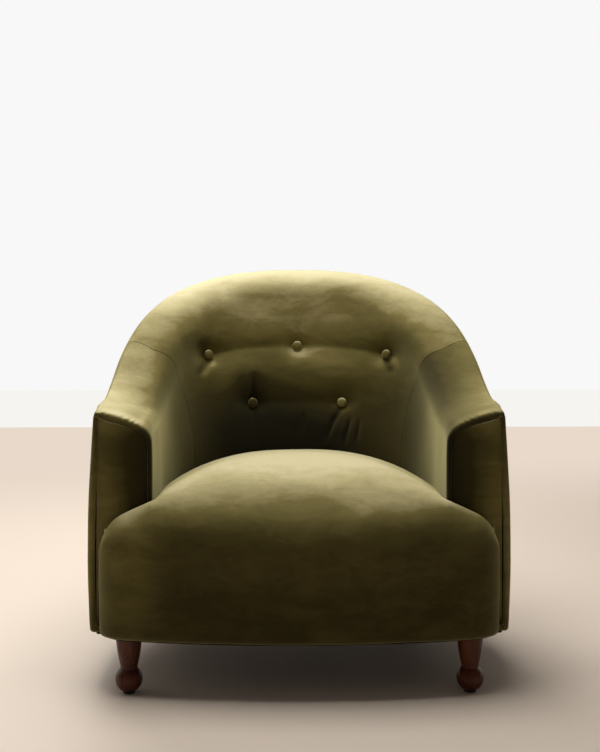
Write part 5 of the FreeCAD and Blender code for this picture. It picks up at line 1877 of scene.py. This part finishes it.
@dataclass
class Stitching:
    """Rows of small slip stitches that close the covers at the arm fronts."""

    thread: Material
    upholstery: Upholstery
    spacing: float = 0.0075
    length: float = 0.0030
    thickness: float = 0.0007
    inset: float = 1.6
    forward: float = 3.4
    first_height: float = 1.2
    rim_gap: float = 8.0

    def row(self, name: str, line: Array, tree: Tree) -> None:
        """One row of stitches along a line in millimetres.

        Args:
            name: the piece's name.
            line: points of the line.
            tree: the stitches' tree.
        """
        piece = new_object(name, line, [], [(i, i + 1) for i in range(len(line) - 1)])
        grow(piece, tree, {"Spacing": self.spacing, "Length": self.length, "Thread": self.thickness,
                           "Finish": self.thread})
        piece.data.shade_smooth()
        # Painted light: stitches that face up are made paler
        paint_light_and_shade(piece)
        hand_over(piece, self.thread)

    def build(self, tree: Tree) -> None:
        """Build a row at each arm front.

        Args:
            tree: the stitches' tree.
        """
        work, wall = self.upholstery, self.upholstery.wall
        up = row_heights(*work.panel_rows)[:-4]
        border = work.front_border(up[up > self.first_height], self.inset)
        border = border[border[:, 0] < wall.rim - self.rim_gap]
        depth = np.full(len(border), wall.arm_front + self.forward)
        front = np.stack([wall.half + border[:, 0], depth, border[:, 1]], 1)
        for side in Side:
            self.row(f"arm_front_stitches_{side.value}", front * (side.sign, 1, 1), tree)


@dataclass
class Underside:
    """Dust cover with its staples, and the webbing behind the foam."""

    cloth: Material
    band: Material
    steel: Material
    wall: WallForm
    seat_form: SeatForm
    inset: float = 14.0
    level: float = 111.9
    sag: float = 2.5
    cloth_thick: float = 0.7
    uneven: tuple[float, float, int] = (0.35, 60.0, 31)
    middle: tuple[float, float] = (0.0, 390.0)
    staple_step: float = 42.0
    staple_inset: float = 7.0
    staple_drop: float = 0.9
    staple_wire: tuple[float, float] = (0.45, 0.3)
    staple_corner: float = 4.7
    staple_sides: int = 6
    staple_spine: tuple = ((-5.0, -1.2), (-5.0, 0.1), (-4.4, 0.45), (4.4, 0.45), (5.0, 0.1), (5.0, -1.2))
    strap_bevel: float = 0.0006

    def outline(self, inset: float) -> Array:
        """Closed plan of the dust cover, moved in by an inset.

        Args:
            inset: how far it lies in from the fabric's edge.

        Returns:
            Points of (x, depth), the first one again at the end.
        """
        radius, bow_half = self.seat_form.bow()
        xs = np.linspace(0, bow_half * (radius - inset) / radius, 40)
        front = np.stack([xs, radius - np.sqrt((radius - inset) ** 2 - xs ** 2)], 1)
        corner = self.seat_form.corner(-12.0, 12, inset)[1:]
        side = self.wall.place(np.linspace(0, 1, 60), np.full(60, self.wall.base - inset), np.zeros(60))[:, :2]
        right = np.vstack([front, corner, side])
        return np.vstack([right, (right * MIRROR[:2])[-2::-1]])

    def dust_sheet(self) -> None:
        """The dust cover, which hangs through a little."""
        edge = resample(self.outline(self.inset), np.linspace(0, 1, 221))[:-1]
        share = np.insert(np.linspace(0.03, 0.97, 18), 0, 0.0)[:, None]
        z = self.level - self.sag * np.sin(np.minimum(share * 1.2, 1) * QUARTER)
        plan = edge * (1 - share[..., None]) + np.array(self.middle) * share[..., None]
        points = np.dstack([plan, np.broadcast_to(z, plan.shape[:2])])
        points[1:, :, 2] += wobble(points[1:], *self.uneven)
        skin = Skin(np.concatenate([points, points[:, :1]], axis=1))
        last = skin.points[..., 0].size - 1
        faces = skin.quads().tolist() + [list(range(last - len(edge), last))]
        piece = new_object("dust_sheet", skin.points, faces)
        clean(piece)
        with reshaping(piece) as work:
            bmesh.ops.recalc_face_normals(work, faces=work.faces)
            if sum(face.normal.z for face in work.faces) > 0:
                bmesh.ops.reverse_faces(work, faces=work.faces)
        thicken(piece, self.cloth_thick)
        hand_over(piece, self.cloth, ("dust_cover",))

    def staples(self, copies: Tree) -> None:
        """Staples along the edge of the dust cover.

        Args:
            copies: the tree that copies an object.
        """
        closed = self.outline(self.inset + self.staple_inset)
        length = float(np.linalg.norm(np.diff(closed, axis=0), axis=1).sum())
        spots = resample(closed, np.linspace(0, 1, int(length / self.staple_step) + 1))[:-1]
        points = np.column_stack([spots, np.full(len(spots), self.level - self.staple_drop)])
        sides, spine = self.staple_sides, self.staple_spine
        turn = np.linspace(0, 2 * math.pi, sides, endpoint=False)
        wide, high = self.staple_wire
        rings = [np.stack([x + wide * np.cos(turn) * (abs(x) > self.staple_corner), wide * np.sin(turn),
                           z + high * np.cos(turn) * (abs(x) < self.staple_corner)], 1) for x, z in spine]
        ends = [tuple(range(sides))[::-1], tuple(range((len(spine) - 1) * sides, len(spine) * sides))]
        master = link_mesh("staple_master", np.vstack(rings) * MM, tube_faces(len(spine), sides) + ends)
        master.data.shade_flat()
        with reshaping(master) as work:
            bmesh.ops.recalc_face_normals(work, faces=work.faces)
        down = np.tile([0.0, 0.0, -1.0], len(points))
        carrier = put_copies("dust_cover_staples", points, down, master, copies, self.steel)
        hand_over(carrier, self.steel)

    def strap(self, name: str) -> None:
        """A webbing strap in the place of its node, with softened edges.

        Args:
            name: the webbing's node.
        """
        piece = link(f"{name}_bands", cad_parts[name].data.copy())
        with reshaping(piece) as work:
            bmesh.ops.remove_doubles(work, verts=work.verts, dist=WELD)
            bmesh.ops.dissolve_limit(work, angle_limit=math.radians(1), verts=work.verts, edges=work.edges)
        bevel = piece.modifiers.new("soft_edges", "BEVEL")
        bevel.width = self.strap_bevel
        bevel.segments = 2
        settle(piece)
        hand_over(piece, self.band, (name,))

    def build(self, copies: Tree) -> None:
        """Build the dust cover, the staples and the webbing.

        Args:
            copies: the tree that copies an object.
        """
        self.dust_sheet()
        self.staples(copies)
        for name in ("arm_webbing_left", "arm_webbing_right", "back_webbing"):
            self.strap(name)


@dataclass
class HardParts:
    """Finishes of the nodes that stay as the CAD made them."""

    finishes: dict[str, Material]
    default: Material

    def dress(self) -> None:
        """Give every node that is still shown its material."""
        for name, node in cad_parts.items():
            if node.hide_render:
                continue
            material = next((made for start, made in self.finishes.items() if name.startswith(start)), self.default)
            for slot in node.material_slots:
                slot.material = material
            if name.startswith("leg_") and name != "leg_inserts":
                node.data.shade_smooth()
            LOG.info("%s: %s", name, material.name)


@dataclass(frozen=True)
class Lamp:
    """A square soft lamp that looks at a height on the chair's axis."""

    name: str
    place: tuple[float, float, float]
    looks_at: float
    size: float
    power: float
    colour: tuple[float, float, float]

    def build(self) -> None:
        """Hang the lamp."""
        data = bpy.data.lights.new(self.name, "AREA")
        data.shape = "SQUARE"
        data.size = self.size
        data.energy = self.power
        data.color = self.colour
        lamp = link(self.name, data)
        lamp.location = self.place
        way = Vector((0.0, 0.0, self.looks_at)) - Vector(self.place)
        lamp.rotation_euler = way.to_track_quat("-Z", "Y").to_euler()


@dataclass(frozen=True)
class Studio:
    """Camera, soft light, pale floor and white backdrop."""

    distance: float = 2.4
    eye: float = 0.887
    aside: float = -0.028
    yaw: float = 0.66
    lens: float = 58.02
    sensor: float = 36.0
    photo_height: float = 752.0
    horizon: float = 257.0
    backdrop: float = 3.924
    half_width: float = 9.0
    reach: float = 7.0
    skirting_height: float = 0.193
    floor: tuple = linear(232, 217, 202)
    skirting: tuple = linear(246, 244, 240)
    wall: tuple = linear(248, 248, 248)
    glow: tuple = (0.7, 2.6)
    sky: tuple = (1.0, 0.91, 0.79, 1.0)
    sky_strength: float = 0.12
    lamps: tuple[Lamp, ...] = (
        Lamp("overhead", (-0.2, -0.02, 2.5), 0.4, 1.4, 40.0, (1.0, 0.985, 0.96)),
        Lamp("window", (-0.95, 2.2, 2.5), 0.5, 2.0, 64.0, (1.0, 0.985, 0.96)),
        Lamp("side_fill", (-2.4, 0.3, 1.1), 0.4, 1.2, 5.0, (1.0, 0.97, 0.92)),
    )

    def camera(self) -> None:
        """Level camera, its frame moved down as in the photograph."""
        data = bpy.data.cameras.new("camera")
        data.lens = self.lens
        data.sensor_width = self.sensor
        data.shift_y = (self.horizon - self.photo_height / 2) / self.photo_height
        camera = link("camera", data)
        camera.location = (self.aside, FRONT_Y - self.distance, self.eye)
        camera.rotation_euler = (math.radians(90), 0, math.radians(-self.yaw))
        bpy.context.scene.camera = camera

    def surface(self, name: str, colour: tuple, roughness: float, glow: tuple[float, float]) -> Material:
        """Material of the floor or a backdrop, whose plain colour the camera sees beyond some distance.

        Args:
            name: the material's name.
            colour: its colour.
            roughness: its roughness.
            glow: where, towards the back, the plain colour starts and where it is reached.

        Returns:
            The material.
        """
        material, graph, shader, place = new_material(name)
        level = graph.math("MULTIPLY_ADD", graph.noise(place, 2.2, 5.0), 0.05, 0.975)
        shade = graph.add("ShaderNodeVectorMath", {0: colour[:3], "Scale": level}, operation="SCALE")
        graph.feed(shader, {"Base Color": shade.outputs[0], "Roughness": roughness, "Specular IOR Level": 0.2})
        light = graph.add("ShaderNodeEmission", {"Color": colour, "Strength": 1.0})
        ray = graph.add("ShaderNodeLightPath").outputs
        seen = graph.math("MAXIMUM", ray["Is Camera Ray"],
                          graph.math("MAXIMUM", ray["Is Glossy Ray"], ray["Is Transmission Ray"]))
        back = graph.add("ShaderNodeSeparateXYZ", {0: place}).outputs[1]
        far = graph.add("ShaderNodeMapRange", {0: back, 1: glow[0], 2: glow[1]}, interpolation_type="SMOOTHSTEP")
        mixed = graph.add("ShaderNodeMixShader", {0: graph.math("MULTIPLY", seen, far.outputs[0]),
                                                  1: shader.outputs[0], 2: light.outputs[0]})
        graph.feed(material.node_tree.nodes["Material Output"], {"Surface": mixed.outputs[0]})
        return material

    def plane(self, name: str, near: tuple[float, float], far: tuple[float, float],
              material: Material) -> None:
        """A stage plane across the full width.

        Args:
            name: its name.
            near: y and z of its nearer or lower edge.
            far: y and z of its other edge.
            material: its material.
        """
        corners = [(-self.half_width, *near), (self.half_width, *near), (self.half_width, *far),
                   (-self.half_width, *far)]
        piece = link_mesh(name, np.array(corners), [(0, 1, 2, 3)])
        piece.data.materials.append(material)

    def sky_light(self) -> None:
        """A soft warm surrounding light, which the camera sees as white."""
        world = bpy.data.worlds.new("studio")
        world.use_nodes = True
        bpy.context.scene.world = world
        graph = Graph(world.node_tree)
        soft = world.node_tree.nodes["Background"]
        graph.feed(soft, {0: self.sky, 1: self.sky_strength})
        white = graph.add("ShaderNodeBackground", {0: self.wall, 1: 1.0})
        ray = graph.add("ShaderNodeLightPath").outputs
        seen = graph.math("MAXIMUM", ray["Is Camera Ray"], ray["Is Transmission Ray"])
        mixed = graph.add("ShaderNodeMixShader", {0: seen, 1: soft.outputs[0], 2: white.outputs[0]})
        graph.feed(world.node_tree.nodes["World Output"], {"Surface": mixed.outputs[0]})

    def build(self) -> None:
        """Build the stage and its light."""
        end = FRONT_Y + self.backdrop
        behind = end + 0.01
        self.plane("floor", (-self.reach, 0.0), (end, 0.0), self.surface("pale_floor", self.floor, 0.6, self.glow))
        self.plane("skirting", (end, 0.0), (end, self.skirting_height),
                   self.surface("skirting_white", self.skirting, 0.6, (0.0, 0.1)))
        self.plane("backdrop", (behind, self.skirting_height), (behind, self.reach),
                   self.surface("backdrop_white", self.wall, 0.8, (0.0, 0.1)))
        for lamp in self.lamps:
            lamp.build()
        self.sky_light()
        bpy.context.scene.view_settings.view_transform = "Standard"


def main() -> None:
    """Build the chair's pieces in order and dress the frame."""
    logging.basicConfig(level=logging.INFO, format="%(message)s")
    nap, grain, weave, speckle = nap_group(), grain_group(), weave_group(), speckle_group()
    velvet = VelvetFinish().build(nap)
    # The thread's tones are picked by painted light and shade too
    thread = VelvetFinish("sewing_thread", ((0.3, linear(44, 37, 14)), (0.9, linear(84, 74, 38))), sheen=0.3)
    walnut, steel = WALNUT.build(grain), STEEL.build(speckle)

    Studio().camera()
    upholstery = Upholstery(velvet)
    upholstery.build()
    wall, copies = upholstery.wall, copies_tree()
    Buttons(velvet, TWINE.build(weave), wall, upholstery.tufts).build(copies, rod_tree())
    Stitching(thread.build(nap), upholstery).build(stitch_tree())
    Underside(DUST.build(weave), BAND.build(weave), steel, wall, upholstery.seat_form).build(copies)
    HardParts({"leg_front": walnut, "leg_back": walnut, "leg_glides": PLASTIC.build(speckle), "leg_inserts": steel,
               "hanger_bolts": steel, "seat_springs": steel, "spring_clips": steel}, BEECH.build(grain)).dress()
    Studio().build()


if __name__ == "__main__":
    main()
